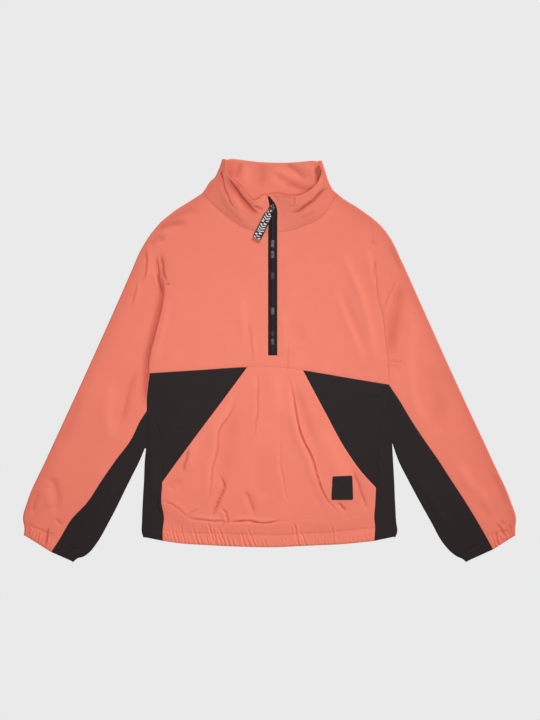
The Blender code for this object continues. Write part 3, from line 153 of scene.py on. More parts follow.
# ---------------------------------------------------------------- folds
# Soft folds: the pieces they lie on, a path, the height of the soft ridge (or, below zero, trough)
# and its half width, the depth of the sharp line along the path, and the side the ridge leans to.
Fold = namedtuple("Fold", "on path rise width crease lean", defaults=(0, 0))
FOLDS = [
    # The pocket's deep fold from the yoke to the bag's corner, with the softer ones beside it.
    Fold("pocket", [(31, -23), (40, -56), (47.5, -98), (57.5, -136), (75, -175), (87, -213), (98, -241),
                    (115, -262), (127.5, -278)], 2.2, 8, 2.6, -1),
    Fold("pocket", [(42, -40), (58, -90), (72, -130), (84, -160)], -1.6, 8),
    Fold("pocket", [(74, -200), (84, -232), (98, -262)], -1.2, 9),
    Fold("pocket", [(88, -110), (108, -158), (126, -200), (134, -240)], 1.6, 15),
    Fold("pocket", [(118.5, -248), (134, -266)], -1.2, 4, 1.4),
    Fold("pocket", [(145, -189), (155.5, -220), (164, -245), (173, -266)], -1.2, 4.5, 1.1),
    Fold("pocket", [(19, -133), (20.5, -185), (27.5, -227), (36.5, -259)], 0.9, 7, 0.7, -1),
    Fold("pocket", [(8.5, -17), (12, -60), (15.5, -108)], 1.2, 11),
    Fold("pocket", [(-23, -12), (-20.5, -38), (-22.5, -108), (-27.5, -140)], 1.2, 7, 1.0, -1),
    Fold("pocket", [(-44, -227), (-33.5, -248), (-26.5, -276)], -1.6, 6, 0.6),
    Fold("pocket", [(-20, -150), (-14, -200), (-8, -250)], -1.0, 16),
    Fold("pocket", [(-53, -49), (-70.5, -98), (-88, -126), (-90.5, -154), (-99.5, -192), (-101, -213),
                    (-107, -245), (-119.5, -266)], 1.8, 8, 1.3, -1),
    Fold("pocket", [(-52, -80), (-68, -130), (-78, -180), (-88, -230)], -1.6, 14),
    Fold("pocket", [(-89.5, -199), (-79, -217), (-84.5, -238), (-95, -262), (-102, -283)], -1.4, 5, 2.2),
    Fold("pocket", [(-84.5, -257), (-75.5, -269), (-72, -290)], 1.2, 5, 2.2, -1),
    Fold("pocket", [(-130, -136), (-138, -170), (-142, -199)], 1.2, 9),
    Fold("pocket", [(-140, -154), (-149, -185), (-154, -203)], -1.2, 4, 1.4),
    Fold("pocket", [(-178, -228), (-165, -217), (-150, -213)], -1.0, 8),
    Fold("pocket", [(-187, -243), (-152.5, -266), (-144, -275)], 0.5, 5, 0.7, 1),
    Fold("pocket", [(-149, -275), (-126, -262), (-117.5, -259)], 0.4, 4, 0.6, 1),
    Fold("pocket", [(-146, -276), (-110, -281), (-68, -283)], 0.5, 4, 1.2, 1),
    Fold("pocket", [(-74, -284.5), (-54.5, -282), (14, -282), (23, -277)], 0.8, 4, 2.2, 1),
    # Beside the zip, and the long slack ridges from the right shoulder to the waist.
    Fold("body", [(22, 90), (27, 40), (28, 0)], 1.0, 6),
    Fold("body pocket", [(34, 36), (31.5, -9), (31, -26)], 0, 5, 0.6),
    Fold("body", [(-50, 127), (-46, 61), (-44, 10)], 1.1, 7),
    Fold("body", [(-36, 70), (-32, 30), (-29, -8)], 0.6, 5, 0.9, 1),
    Fold("body", [(52, 64), (53, 26)], -0.8, 9),
    Fold("body lower", [(122, 200), (140, 158), (161, 105), (177, 39), (186, -14)], 2.2, 7),
    Fold("body", [(111.5, 131), (131, 79), (153, 26), (162, -14)], 1.3, 7),
    Fold("body", [(122, 126), (146, 70), (170, 10)], -1.2, 6),
    Fold("body sleeve", [(170.5, 200), (178, 152), (187, 112)], 1.3, 5),
    Fold("body sleeve", [(185, 178), (182.5, 138)], 0, 4, 1.1),
    Fold("body sleeve", [(173, 205), (190, 201)], -0.8, 4, 0.3),
    # The left shoulder's soft hollows and the pinched cloth at its armhole.
    Fold("body sleeve", [(-206, 208), (-196, 224), (-176, 234), (-140, 239)], -3.0, 7, 0.2),
    Fold("body sleeve", [(-200, 232), (-176, 247), (-140, 257), (-118, 262)], -1.6, 6),
    Fold("body sleeve", [(-204, 214), (-192, 222), (-172, 223)], 1.4, 5),
    Fold("body sleeve", [(-213, 197), (-192, 211), (-181, 204)], -2.0, 5, 0.3),
    Fold("body sleeve", [(-197, 186), (-195, 148), (-191, 123), (-187, 98)], -1.6, 5, 2.2),
    Fold("body sleeve", [(-189, 188), (-186, 158), (-182.5, 140), (-176, 133)], -1.0, 4, 2.2),
    Fold("body sleeve", [(-186, 134), (-180, 131), (-173, 133)], 0, 3, 1.8),
    Fold("sleeve", [(-183, 150), (-187.5, 107), (-202, 45), (-212, 3), (-214, -24), (-218, -96)],
         -1.8, 5, 1.2),
    Fold("sleeve", [(-188, 146), (-196, 95), (-209, 40), (-219, -2), (-222, -50)], -1.6, 7),
    Fold("body", [(-172, 110), (-189, 45), (-198, 3), (-199, -22)], 1.0, 5),
    Fold("sleeve", [(-217.5, 198), (-215, 163), (-222.5, 133)], 1.0, 5, 1.6, 1),
    Fold("sleeve", [(-230, 138), (-237.5, 108), (-244, 88)], 0.8, 5, 1.0, 1),
    Fold("sleeve", [(-206, 158), (-199, 138), (-192.5, 118)], 1.2, 3.5),
    Fold("sleeve gusset", [(-229.5, -10), (-249, -65), (-256, -98), (-267, -131)], -2.0, 8, 0.4),
    Fold("sleeve", [(-271, -32), (-284, -87), (-276, -153)], 1.6, 11),
    Fold("sleeve", [(-330, -60), (-352, -110), (-372, -160)], -1.4, 14),
    Fold("sleeve", [(-396, -203), (-378, -214), (-371, -236), (-374, -274)], -1.4, 7, 0.3),
    Fold("sleeve", [(-388, -222), (-385, -262)], 1.3, 8),
    Fold("sleeve", [(-404, -226), (-411, -250), (-414.5, -274)], -1.2, 6, 0.4),
    Fold("sleeve", [(-374, -276), (-363, -291)], -0.8, 4, 0.4),
    Fold("sleeve", [(-386, -292), (-389, -308), (-392.5, -326)], -0.6, 3, 1.4),
    Fold("sleeve", CUFF_STITCH["left"], 0, 3, 0.7),
    Fold("sleeve", CUFF_STITCH["right"], 0, 3, 0.7),
    # The right sleeve.
    Fold("body sleeve", [(226.5, 145), (209, 113), (200, 90), (196.5, 76)], 0.9, 5, 1.0, 1),
    Fold("sleeve", [(229, 142), (222, 88), (216, 48), (208.5, -4)], -3.6, 9, 0.2),
    Fold("sleeve", [(203, 98), (205, 66), (207, 44)], 1.2, 3.5),
    Fold("sleeve", [(206.5, -2.5), (220, -3), (233, -4.5)], 0.8, 4, 1.3, -1),
    Fold("sleeve", [(209, -11), (219, -13), (232, -17)], -0.7, 6),
    Fold("sleeve gusset", [(249, 98), (251.5, 48), (245, -4), (248, -54), (262.5, -98), (289, -131)],
         2.0, 10),
    Fold("sleeve", [(276, 0), (289, -43), (297.5, -109), (302, -135)], -1.8, 14),
    Fold("sleeve", [(330.5, -170), (341.5, -207), (365.5, -234), (383, -273)], 2.0, 10),
    Fold("sleeve", [(387, -196), (409, -229), (421, -262)], -1.6, 9),
    Fold("sleeve", [(350, -206), (366, -240), (382, -284)], -1.0, 8),
    Fold("sleeve", [(394, -284), (406, -299), (412, -313)], -0.8, 4, 0.8),
    Fold("sleeve", [(404, -280), (413, -292)], -0.5, 4, 0.5),
    Fold("sleeve", [(418, -286), (424, -308)], -0.5, 3, 0.8),
    Fold("sleeve", [(209, 203), (221, 175), (231.5, 150)], -1.2, 7),
    # Black panels.
    Fold("side", [(188, -154.5), (193, -176), (201, -191)], 1.0, 5, 0.9, -1),
    Fold("side", [(-200, -150), (-204, -200), (-201, -250)], 1.2, 8),
    Fold("lower", [(-204, -123), (-176, -121), (-146, -122)], 0.6, 6, 0.6, 1),
    Fold("lower", [(172.5, -64.5), (198.5, -64.5)], 0.6, 5, 0.6, 1),
    Fold("lower", [(-150, -60), (-165, -100), (-172, -150)], 1.2, 14),
    Fold("side", [(-190, -236), (-196, -250), (-190, -272)], 0.8, 4, 0.9, 1),
    Fold("side", [(196, -150), (200, -200), (198, -252)], 1.2, 8),
    Fold("gusset", [(-330, -268), (-322, -276), (-318, -284)], 0.6, 4, 0.8),
    Fold("gusset", [(-338, -277), (-330, -284), (-326, -294)], 0.6, 4, 0.8),
    Fold("gusset", [(-384, -312), (-362, -318), (-340, -330), (-322, -334)], 0, 3, 0.6),
    Fold("gusset", [(384, -312), (364, -322), (346, -334), (330, -338)], 0, 3, 0.6),
    Fold("gusset", [(-262, -200), (-300, -262), (-322, -300)], 1.4, 9, 0.3, 1),
    Fold("gusset", [(262, -190), (300, -255), (326, -300)], 1.4, 9, 0.3, -1),
    # The stand collar, folded over on itself, and its inner face behind the zip.
    Fold("collar", [(-88, 340), (-84.5, 322), (-78, 297), (-67, 272), (-58, 260)], 1.2, 6, 2.6, -1),
    Fold("collar", [(-73, 320), (-63, 303), (-51, 286), (-38, 270), (-26, 258), (-12, 252)], -3.4, 6, 1.4),
    Fold("collar", [(-80, 296), (-68, 272), (-50, 250), (-34, 238)], 1.2, 6),
    Fold("collar", [(-79, 335), (-72, 319), (-60, 304), (-48, 290), (-38, 279), (-28, 273)], 0.9, 3.5),
    Fold("collar", [(90, 328), (84, 308), (72, 294), (56, 283), (42, 281)], 0.9, 3.5),
    Fold("collar", [(-66, 290), (-56, 270), (-45, 254)], 1.6, 5),
    Fold("collar", [(-29.5, 269), (-19, 264), (-9.5, 259)], -1.4, 4, 1.2),
    Fold("collar", [(103, 303), (93, 294), (78, 279), (63, 267), (45.5, 257), (30.5, 254)], -1.8, 4, 2.2),
    Fold("collar", [(98, 318), (84, 300), (66, 284)], 1.4, 6),
    Fold("collar", [(82, 262), (68, 252), (50, 244)], 0, 3, 0.5),
    Fold("collar", [(43, 284), (43, 269)], 0.5, 4, 1.0, 1),
    Fold("collar", [(33, 268), (46, 268)], 0, 3, 0.6),
    Fold("collar", [(6.8, 287), (16.8, 275.5)], 0, 3, 0.8),
    Fold("inside", [(-50, 346), (-54, 330), (-60, 314)], -2.0, 5, 0.8),
    Fold("inside", [(-72, 348), (-70, 332), (-64, 318)], -2.0, 7, 0.3),
    Fold("inside", [(-40, 340), (-44, 318), (-40, 298)], 2.0, 8),
    Fold("inside", [(-16, 344), (-12, 324), (-20, 300)], -1.4, 8),
    Fold("inside", [(6, 338), (22, 326), (40, 318), (58, 316)], 2.2, 6),
    Fold("inside", [(26, 344), (44, 334), (56, 324), (66, 314)], -2.0, 4, 0.7),
    Fold("inside", [(-4, 318), (14, 308), (34, 300)], 1.6, 7),
    Fold("inside", [(30, 314), (48, 303), (66, 299), (80, 303)], -2.0, 5, 0.9),
    Fold("inside", [(8, 322), (24, 312), (36, 296)], -1.2, 6),
    Fold("inside", [(84, 342), (84, 318), (79, 304)], -2.0, 5, 0.7),
    Fold("inside", [(60, 340), (74, 330), (78, 316)], 1.6, 5),
]
CREASE_WIDTH = 1.6      # half width of a sharp line
CREASE_WOBBLE = (0.6, 17)   # how far it strays from its path, and its turns along it in radians
FOLD_FADE = 0.3         # share of a fold's length over which each end fades out
FOLD_LEAN = 0.8         # how far a leaning ridge stands beside its sharp line, as a share of its width
# Painted shade where cloth turns under its neighbour: the pieces, a path with the shaded side on its left,
# how far the painted shade reaches and how much darker it is.
Shade = namedtuple("Shade", "on path width share")
SHADE_FADE = 0.2        # the same share for these, and the width of their sharp side
SHADE_EDGE = 1.2
SHADES = [
    Shade("sleeve", [(-218, -96), (-213.5, -24), (-211, 3), (-200.5, 45), (-186.5, 107), (-184, 131),
                     (-188.5, 150), (-192, 180)], 8, 0.38),
    Shade("sleeve", [(203, 96), (206, 60), (208, 30), (211, 2)], 14, 0.09),
    Shade("sleeve", [(185, 174), (186, 145), (189.5, 110), (198, 73), (201, 45), (206, 6.5), (209, -44)],
          2.5, 0.16),
    Shade("collar", [(-12, 254), (-26, 262), (-38, 273), (-50, 288), (-62, 304), (-73, 323)], 9, 0.34),
    Shade("collar", [(-60, 262), (-70, 276), (-80, 300), (-86, 322), (-88, 336)], 4, 0.12),
    Shade("collar", [(104, 304), (93, 295), (78, 280), (63, 268), (46, 258)], 4, 0.12),
    Shade("pocket", [(118, -268), (99, -241), (88, -213), (76, -175), (59, -136), (49, -98)], 5, 0.07),
    Shade("pocket", [(-26, -140), (-22, -100), (-20, -40)], 4, 0.05),
    Shade("inside", [(-62, 316), (-70, 330), (-76, 347)], 10, 0.10),
    Shade("inside", [(80, 347), (84, 330), (80, 308), (60, 294), (40, 290)], 8, 0.12),
]
SEAM_DIP = (0.3, 3.6)       # how far the cloth sinks beside a seam, and over what width
SEAM_EDGE = (0.28, 0.6)     # and how its edge turns in
STITCH_GROOVE = (0.35, 0.9)     # depth and half width of the channel along a line of stitches
BAG_GROOVE = (0.25, 1.0)        # and along the line that holds the pocket's bag
HEM_CHANNEL_SHADE = (0.9, 0.9)           # painted shade in the hem's stitch channel, as a crease depth, and its half width

# Gathers of the hem: place along it, lean of the upper end, length, depth and half width.
Gather = namedtuple("Gather", "x lean length depth width")
HEM_GATHERS = [Gather(*row) for row in (
    (-178, -4, 20, 0.8, 1.3), (-166, -6, 30, 1.0, 1.3), (-158, -8, 24, 0.9, 1.3), (-148, -8, 33, 1.1, 1.4),
    (-141, -4, 12, 0.8, 1.2), (-133, -5, 16, 0.8, 1.2), (-125, -10, 34, 1.1, 1.4), (-116, -9, 18, 0.9, 1.3),
    (-106, -6, 18, 1.0, 1.3), (-95, -13, 41, 1.5, 1.6), (-92, -8, 34, 1.6, 1.5), (-84, -5, 18, 1.0, 1.3),
    (-77, -12, 33, 1.3, 1.5), (-70, -6, 22, 1.0, 1.3), (-62, -5, 16, 0.9, 1.3), (-52, -5, 14, 0.8, 1.2),
    (-43, -8, 30, 1.1, 1.4), (-34, -8, 20, 1.0, 1.3), (-25, -14, 34, 1.2, 1.4), (-20, -5, 16, 0.9, 1.3),
    (-3, -7, 16, 0.8, 1.3), (10, -6, 14, 0.6, 1.2), (24, -5, 18, 0.7, 1.3), (35, -3, 13, 0.7, 1.2),
    (48, -3, 18, 1.1, 1.3), (51, -8, 42, 1.5, 1.6), (64, -10, 26, 1.1, 1.4), (80, -3, 22, 0.9, 1.4),
    (96, -3, 14, 0.5, 1.2), (112, -3, 36, 1.4, 1.6), (128, -3, 14, 0.5, 1.2), (146, -2, 16, 0.5, 1.3),
    (162, -3, 14, 0.5, 1.2), (174, 2, 18, 0.6, 1.2),
)]
# Gathers of a cuff, by share across it.
CUFF_GATHERS = [(0.06, 0.9), (0.14, 1.3), (0.22, 1.0), (0.33, 0.6), (0.45, 1.0), (0.58, 0.5), (0.70, 1.6),
                (0.86, 0.6)]
CASING_PUFF = 0.5       # how far the casing stands proud between its gathers


# ---------------------------------------------------------------- lines
def reach_of(points):
    """Length along a path up to each of its points."""
    return np.concatenate([[0], np.cumsum(np.linalg.norm(np.diff(points, axis=0), axis=1))])


def spread(points, shares):
    """Points at given shares of the length of a fine polyline."""
    reach = reach_of(points[:, :2])
    return np.stack([np.interp(shares * reach[-1], reach, column) for column in points.T], axis=1)


class Line:
    """A smooth line through a table's points, cut into steps between any two of its rows."""

    def __init__(self, table):
        rows = np.array(table, float)
        chords = np.linalg.norm(np.diff(rows[:, :2], axis=0), axis=1)
        slopes = np.gradient(rows, np.concatenate([[0], np.cumsum(chords)]), axis=0)
        t = np.linspace(0, 1, 25)[1:, None]
        fine = [rows[:1]]
        for k, chord in enumerate(chords):
            fine.append((2 * t**3 - 3 * t**2 + 1) * rows[k] + (t**3 - 2 * t**2 + t) * chord * slopes[k]
                        + (3 * t**2 - 2 * t**3) * rows[k + 1] + (t**3 - t**2) * chord * slopes[k + 1])
        self.fine = np.concatenate(fine)
        self.marks = np.arange(len(rows)) * 24

    def cut(self, shares, first=0, last=-1):
        return spread(self.fine[self.marks[first]:self.marks[last] + 1], np.asarray(shares))


NEAR_EDGE = (0.2, 0.55)     # places of the extra lines between a border and the next line


def shares(steps, first=True, last=True):
    """Even shares of a length, with extra lines beside the borders where the cloth's edge turns in."""
    even = np.linspace(0, 1, steps + 1)
    near = np.array(NEAR_EDGE) / steps
    extra = [near] * first + [1 - near[::-1]] * last
    return np.sort(np.concatenate([even, *extra]))


def unit(vector):
    """The vector at length 1."""
    return vector / np.linalg.norm(vector)


def unit_rows(vectors):
    """Each row's vector at length 1."""
    return vectors / np.linalg.norm(vectors, axis=-1, keepdims=True)


def ease(value):
    """A smooth step from 0 to 1."""
    t = np.clip(value, 0, 1)
    return t * t * (3 - 2 * t)


def inward(edge, towards):
    """Unit directions square to an edge's points, on the side of the points given."""
    along = np.gradient(edge, axis=0)
    square = np.stack([-along[:, 1], along[:, 0]], axis=1)
    side = np.sign(np.sum(square * (towards - edge), axis=1))
    return unit_rows(square * side[:, None])


def inset(runs):
    """Move the sides of a closed outline inwards. Runs are (name, points, gap), in order round it."""
    points, gaps, places = [], [], {}
    for name, run, gap in runs:
        places[name] = (sum(len(p) for p in points), len(run))
        points.append(np.asarray(run, float)[:-1, :2])
        gaps.append(np.full(len(run) - 1, gap))
    points, after_gap = np.concatenate(points), np.concatenate(gaps)
    after = np.roll(points, -1, axis=0)
    turn = np.sign(np.sum(points[:, 0] * after[:, 1] - after[:, 0] * points[:, 1]))
    out = unit_rows(after - points)
    n2 = turn * np.stack([-out[:, 1], out[:, 0]], axis=1)
    n1, before_gap = np.roll(n2, 1, axis=0), np.roll(after_gap, 1)
    cross = n1[:, 0] * n2[:, 1] - n1[:, 1] * n2[:, 0]
    widest = np.maximum(before_gap, after_gap)[:, None]
    safe = np.where(np.abs(cross) > 0.2, cross, 1)[:, None]
    exact = np.stack([before_gap * n2[:, 1] - after_gap * n1[:, 1],
                      after_gap * n1[:, 0] - before_gap * n2[:, 0]], axis=1) / safe
    use = (np.abs(cross)[:, None] > 0.2) & (np.linalg.norm(exact, axis=1)[:, None] <= 4 * widest)
    moved = points + np.where(use, exact, unit_rows(n1 + n2) * widest)
    ring = np.concatenate([moved, moved])
    return {name: ring[at:at + size] for name, (at, size) in places.items()}


def progress(edge):
    """Share of an edge's length at each of its points."""
    reach = reach_of(edge)
    return reach / reach[-1]


def patch(left, right, start, end):
    """Grid of points between four edges: left and right run along it, start and end across it."""
    u = ((progress(start) + progress(end)) / 2)[:, None, None]
    v = ((progress(left) + progress(right)) / 2)[None, :, None]
    corners = ((1 - u) * (1 - v) * left[0] + u * (1 - v) * right[0]
               + (1 - u) * v * left[-1] + u * v * right[-1])
    return ((1 - u) * left[None] + u * right[None]
            + (1 - v) * start[:, None] + v * end[:, None] - corners)


def relax(grid, rounds=60, across=9, along=15):
    """Even out the grid near its start, where its corner is nearly straight, on a coarse copy."""
    rows = np.linspace(0, grid.shape[0] - 1, across).round().astype(int)
    lines = np.linspace(0, grid.shape[1] - 1, along).round().astype(int)
    coarse = grid[np.ix_(rows, lines)]
    even = coarse.copy()
    weight = np.clip(1.4 * (1 - np.linspace(0, 1, along)) - 0.4, 0, 1)[None, 1:-1, None]
    for _ in range(rounds):
        mean = (even[2:, 1:-1] + even[:-2, 1:-1] + even[1:-1, 2:] + even[1:-1, :-2]) / 4
        even[1:-1, 1:-1] += weight * (mean - even[1:-1, 1:-1])
    shift = even - coarse
    shift = np.stack([[np.interp(np.arange(grid.shape[0]), rows, shift[:, j, c])
                       for j in range(along)] for c in range(grid.shape[2])], axis=-1)
    shift = np.stack([[np.interp(np.arange(grid.shape[1]), lines, shift[:, i, c])
                       for i in range(grid.shape[0])] for c in range(grid.shape[2])], axis=-1)
    return grid + shift


# ---------------------------------------------------------------- relief
def near(path, x, y, within):
    """Which points lie near a path, their signed distances to it and shares along it."""
    low, high = path.min(axis=0) - within, path.max(axis=0) + within
    found = np.flatnonzero((x > low[0]) & (x < high[0]) & (y > low[1]) & (y < high[1]))
    if not len(found):
        return found, np.zeros(0), np.zeros(0)
    spot = np.stack([x[found], y[found]], axis=1)[:, None]
    start, run = path[None, :-1], (path[1:] - path[:-1])[None]
    length = np.linalg.norm(run[0], axis=1)
    t = np.clip(((spot - start) * run).sum(axis=2) / length**2, 0, 1)
    gap = spot - start - run * t[..., None]
    distance = np.linalg.norm(gap, axis=2)
    best = distance.argmin(axis=1)
    row = np.arange(len(best))
    cross = run[0, best, 0] * gap[row, best, 1] - run[0, best, 1] * gap[row, best, 0]
    reach = np.concatenate([[0], np.cumsum(length)])
    along = (reach[best] + t[row, best] * length[best]) / reach[-1]
    return found, np.where(cross < 0, -1, 1) * distance[row, best], along


def measured(path):
    """Length of a path, seen from above."""
    return np.linalg.norm(np.diff(path[:, :2], axis=0), axis=1).sum()


def sampled_line(line, spacing=6.0):
    """A line's points at an even spacing, for measuring from it."""
    return line.cut(np.linspace(0, 1, max(4, int(measured(line.fine) / spacing)) + 1))[:, :2]


def sampled(table, spacing=7.0):
    """The same for a table's rows."""
    return sampled_line(Line(table), spacing)


def bell(distance, width):
    """1 at no distance, falling off smoothly over the width."""
    return np.exp(-(distance / width)**2)


def folds(on, x, y):
    """Height that the listed folds give one kind of piece, and how deep their sharp lines are."""
    soft, sharp = np.zeros(x.size), np.zeros(x.size)
    for fold in FOLDS:
        if on not in fold.on.split():
            continue
        path = sampled(fold.path)
        found, off, along = near(path, x.ravel(), y.ravel(), 3 * fold.width)
        fade = ease(np.minimum(along, 1 - along) / FOLD_FADE)
        wobble = CREASE_WOBBLE[0] * np.sin(along * CREASE_WOBBLE[1] + fold.width)
        soft[found] += fold.rise * fade * bell(off - fold.lean * fold.width * FOLD_LEAN, fold.width)
        sharp[found] += fold.crease * fade * bell(off + wobble, CREASE_WIDTH)
    return soft.reshape(x.shape), sharp.reshape(x.shape)


def marks(on, x, y, soft, sharp):
    """Painted shade: how far the cloth's colour is darkened, as if by a sharp line of that depth; below 0 it
    is painted highlight.
    """
    total = np.zeros(x.size)
    for shade in SHADES:
        if shade.on != on:
            continue
        found, off, along = near(sampled(shade.path), x.ravel(), y.ravel(), 3 * shade.width)
        fade = ease(np.minimum(along, 1 - along) / SHADE_FADE)
        width = np.where(off > 0, shade.width, SHADE_EDGE)
        total[found] += shade.share * fade * bell(off, width) / PAINTED_CREASE_SHADE
    return total.reshape(x.shape) + sharp - FOLD_SHADE_AND_HIGHLIGHT * soft


def deepest(lines, x, y, within, depth):
    """The most that any line gives at each point; depth is a function of the distance to it."""
    total = np.zeros(x.size)
    for path in lines:
        found, off, _ = near(path, x.ravel(), y.ravel(), within)
        total[found] = np.maximum(total[found], depth(off))
    return total.reshape(x.shape)


def seam_dips(lines, x, y):
    """How far the cloth sinks beside the seams given."""
    def depth(off):
        return SEAM_DIP[0] * bell(off, SEAM_DIP[1]) + SEAM_EDGE[0] * bell(off, SEAM_EDGE[1])
    return deepest(lines, x, y, 3 * SEAM_DIP[1], depth)


def stitch_grooves(lines, x, y, depth=STITCH_GROOVE[0], width=STITCH_GROOVE[1]):
    """The fine channels that stitch lines pull into the cloth."""
    return deepest(lines, x, y, 4 * width, lambda off: depth * bell(off, width))


def hem_relief(x, y):
    """The hem's gathers, with the casing standing proud between them."""
    hem = np.array(HEM, float)
    up = y - np.interp(x, hem[:, 0], hem[:, 1])
    total = CASING_PUFF * ease(up / 4) * ease((CASING + 6 - up) / 8)
    minor = [Gather(-182 + 5.7 * k + 1.4 * math.sin(2.4 * k), -2.5 + 1.5 * math.sin(1.7 * k),
                    13 + 3 * math.sin(3.1 * k), 0.45 + 0.2 * math.sin(4.3 * k), 1.1) for k in range(64)]
    for g in HEM_GATHERS + minor:
        share = np.clip(up / g.length, 0, 1)
        off = x - g.x - g.lean * share - 0.5 * np.sin(up * 0.45 + g.x)
        fade = ease((g.length - up) / 8)
        total -= g.depth * bell(off, g.width) * fade * 0.9
        total += 0.45 * g.depth * (bell(off - 3.2, 1.8) + bell(off + 3.2, 1.8)) * fade
    return total


# ---------------------------------------------------------------- meshes
PAINTED_EDGE_SHADE = (0.12, 15.0)    # painted shade towards the silhouette, where the cloth turns away from the light: how much darker, and over what width
PAINTED_CREASE_SHADE = 0.18          # painted shade in a sharp crease, for each millimetre of its depth
FOLD_SHADE_AND_HIGHLIGHT = 0.22            # share of that painted shade for a millimetre of a soft trough, and as much painted highlight on a ridge
SHARP_ANGLE = math.radians(60)      # faces that meet at more than this aren't smoothed into each other


def painted_shade_tone(points, sharp):
    """Painted shade at each point: 1, darker towards the silhouette and where the painted depth is above 0,
    lighter (painted highlight) where it is below.
    """
    x, y = points[..., 0].ravel(), points[..., 1].ravel()
    closest = np.full(x.size, 99.0)
    for table in (SLEEVE_OUTER, SHOULDER, COLLAR_SIDE):
        for side in SIDES:
            found, off, _ = near(sampled(table[side], 12), x, y, 3 * PAINTED_EDGE_SHADE[1])
            closest[found] = np.minimum(closest[found], np.abs(off))
    tone = 1 - PAINTED_EDGE_SHADE[0] * bell(closest, PAINTED_EDGE_SHADE[1])
    return tone.reshape(points.shape[:2]) - PAINTED_CREASE_SHADE * np.clip(sharp, -0.3, 2.2)


def cloth(name, outer, inner, look, keep=None, body="garment", sharp=0.0, inner_painted_shade=0.0):
    """A closed wall between two grids of points. Without a mask the inner grid has every other line."""
    m, n = outer.shape[:2]
    ids = np.arange(m * n).reshape(m, n)
    cells = np.ones((m - 1, n - 1), bool) if keep is None else keep
    top = np.stack([part[cells] for part in (ids[:-1, :-1], ids[1:, :-1], ids[1:, 1:], ids[:-1, 1:])], 1)
    if keep is None:
        inner = inner[::2, ::2]
        low = np.arange(inner.shape[0] * inner.shape[1]).reshape(inner.shape[:2]) + m * n
        bottom = np.stack([low[:-1, :-1], low[:-1, 1:], low[1:, 1:], low[1:, :-1]], -1).reshape(-1, 4)
        sides = []
        for border, under in ((ids[:, 0], low[:, 0]), (ids[-1], low[-1]),
                              (ids[::-1, -1], low[::-1, -1]), (ids[0, ::-1], low[0, ::-1])):
            sides.append(np.stack([border[2::2], border[1:-1:2], border[:-2:2], under[:-1], under[1:]], 1))
        faces = [*top.tolist(), *bottom.tolist(), *np.concatenate(sides).tolist()]
    else:
        edges = np.concatenate([top[:, [k, (k + 1) % 4]] for k in range(4)])
        code, twin = edges[:, 0] * m * n + edges[:, 1], edges[:, 1] * m * n + edges[:, 0]
        rim = edges[~np.isin(code, twin)]
        sides = np.stack([rim[:, 1], rim[:, 0], rim[:, 0] + m * n, rim[:, 1] + m * n], axis=1)
        faces = np.concatenate([top, top[:, ::-1] + m * n, sides]).tolist()
    points = np.concatenate([outer.reshape(-1, 3), inner.reshape(-1, 3)])
    # The depths given for the outer and inner points are painted shade from marks: they darken or lighten
    # the colour, not the shape.
    if keep is None and np.ndim(inner_painted_shade):
        inner_painted_shade = inner_painted_shade[::2, ::2]
    tone = np.concatenate([painted_shade_tone(outer, sharp).ravel(), painted_shade_tone(inner, inner_painted_shade).ravel()])
    return piece(name, points, faces, look, body, tone)


def piece(name, points, faces, look, body="garment", tone=None):
    """A mesh piece from points in millimetres, with its faces pointing out."""
    used = np.unique(np.fromiter((k for face in faces for k in face), int))
    place = np.zeros(len(points), int)
    place[used] = np.arange(len(used))
    mesh = bpy.data.meshes.new(name)
    mesh.from_pydata((points[used] * MM).tolist(), [], [[int(place[k]) for k in face] for face in faces])
    mesh.update()
    if volume(mesh) < 0:
        mesh.flip_normals()
    mesh.shade_smooth()
    mesh.set_sharp_from_angle(angle=SHARP_ANGLE)
    # Painted shade and highlight of each point, which the cloth's material multiplies into its colour.
    if tone is not None:
        mesh.attributes.new("painted_shade_tone", "FLOAT", "POINT").data.foreach_set("value", tone[used])
    thing = bpy.data.objects.new(name, mesh)
    mesh.materials.append(look)
    bpy.context.scene.collection.objects.link(thing)
    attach(thing, body)
    return thing


def volume(mesh):
    """Volume inside a closed mesh, below zero where its faces point in."""
    mesh.calc_loop_triangles()
    count = len(mesh.loop_triangles)
    corners = np.zeros(count * 3, np.int32)
    mesh.loop_triangles.foreach_get("vertices", corners)
    places = np.zeros(len(mesh.vertices) * 3)
    mesh.vertices.foreach_get("co", places)
    a, b, c = places.reshape(-1, 3)[corners.reshape(-1, 3)].transpose(1, 0, 2)
    return np.sum(a * np.cross(b, c)) / 6


def wall_at(distance):
    """Wall of a panel at a distance from its free edge, where the cloth is turned up."""
    return CLOTH + (DOUBLE - CLOTH) * ease((CASING - distance) / 3)


EDGE_ROUNDING = 0.85    # 1 would make a free edge a half circle


def pinch(distance, wall):
    """How far each face of a free edge turns in to make it round."""
    radius = wall / 2
    inside = np.clip(radius - distance, 0, radius)
    return EDGE_ROUNDING * (radius - np.sqrt(radius**2 - inside**2))


def free_edge(distance):
    """Wall and rounding of a panel at a distance from its free edge."""
    wall = wall_at(distance)
    return wall, pinch(distance, wall)


def from_end(grid):
    """Distances along the grid's lines to its last row."""
    steps = np.linalg.norm(np.diff(grid[..., :2], axis=1), axis=-1)
    back = np.cumsum(steps[:, ::-1], axis=1)[:, ::-1]
    return np.concatenate([back, np.zeros((len(grid), 1))], axis=1)


# ---------------------------------------------------------------- pattern
SHOULDER_FACETS = 4     # the solids' own steps, which set how the shoulder's turn is led


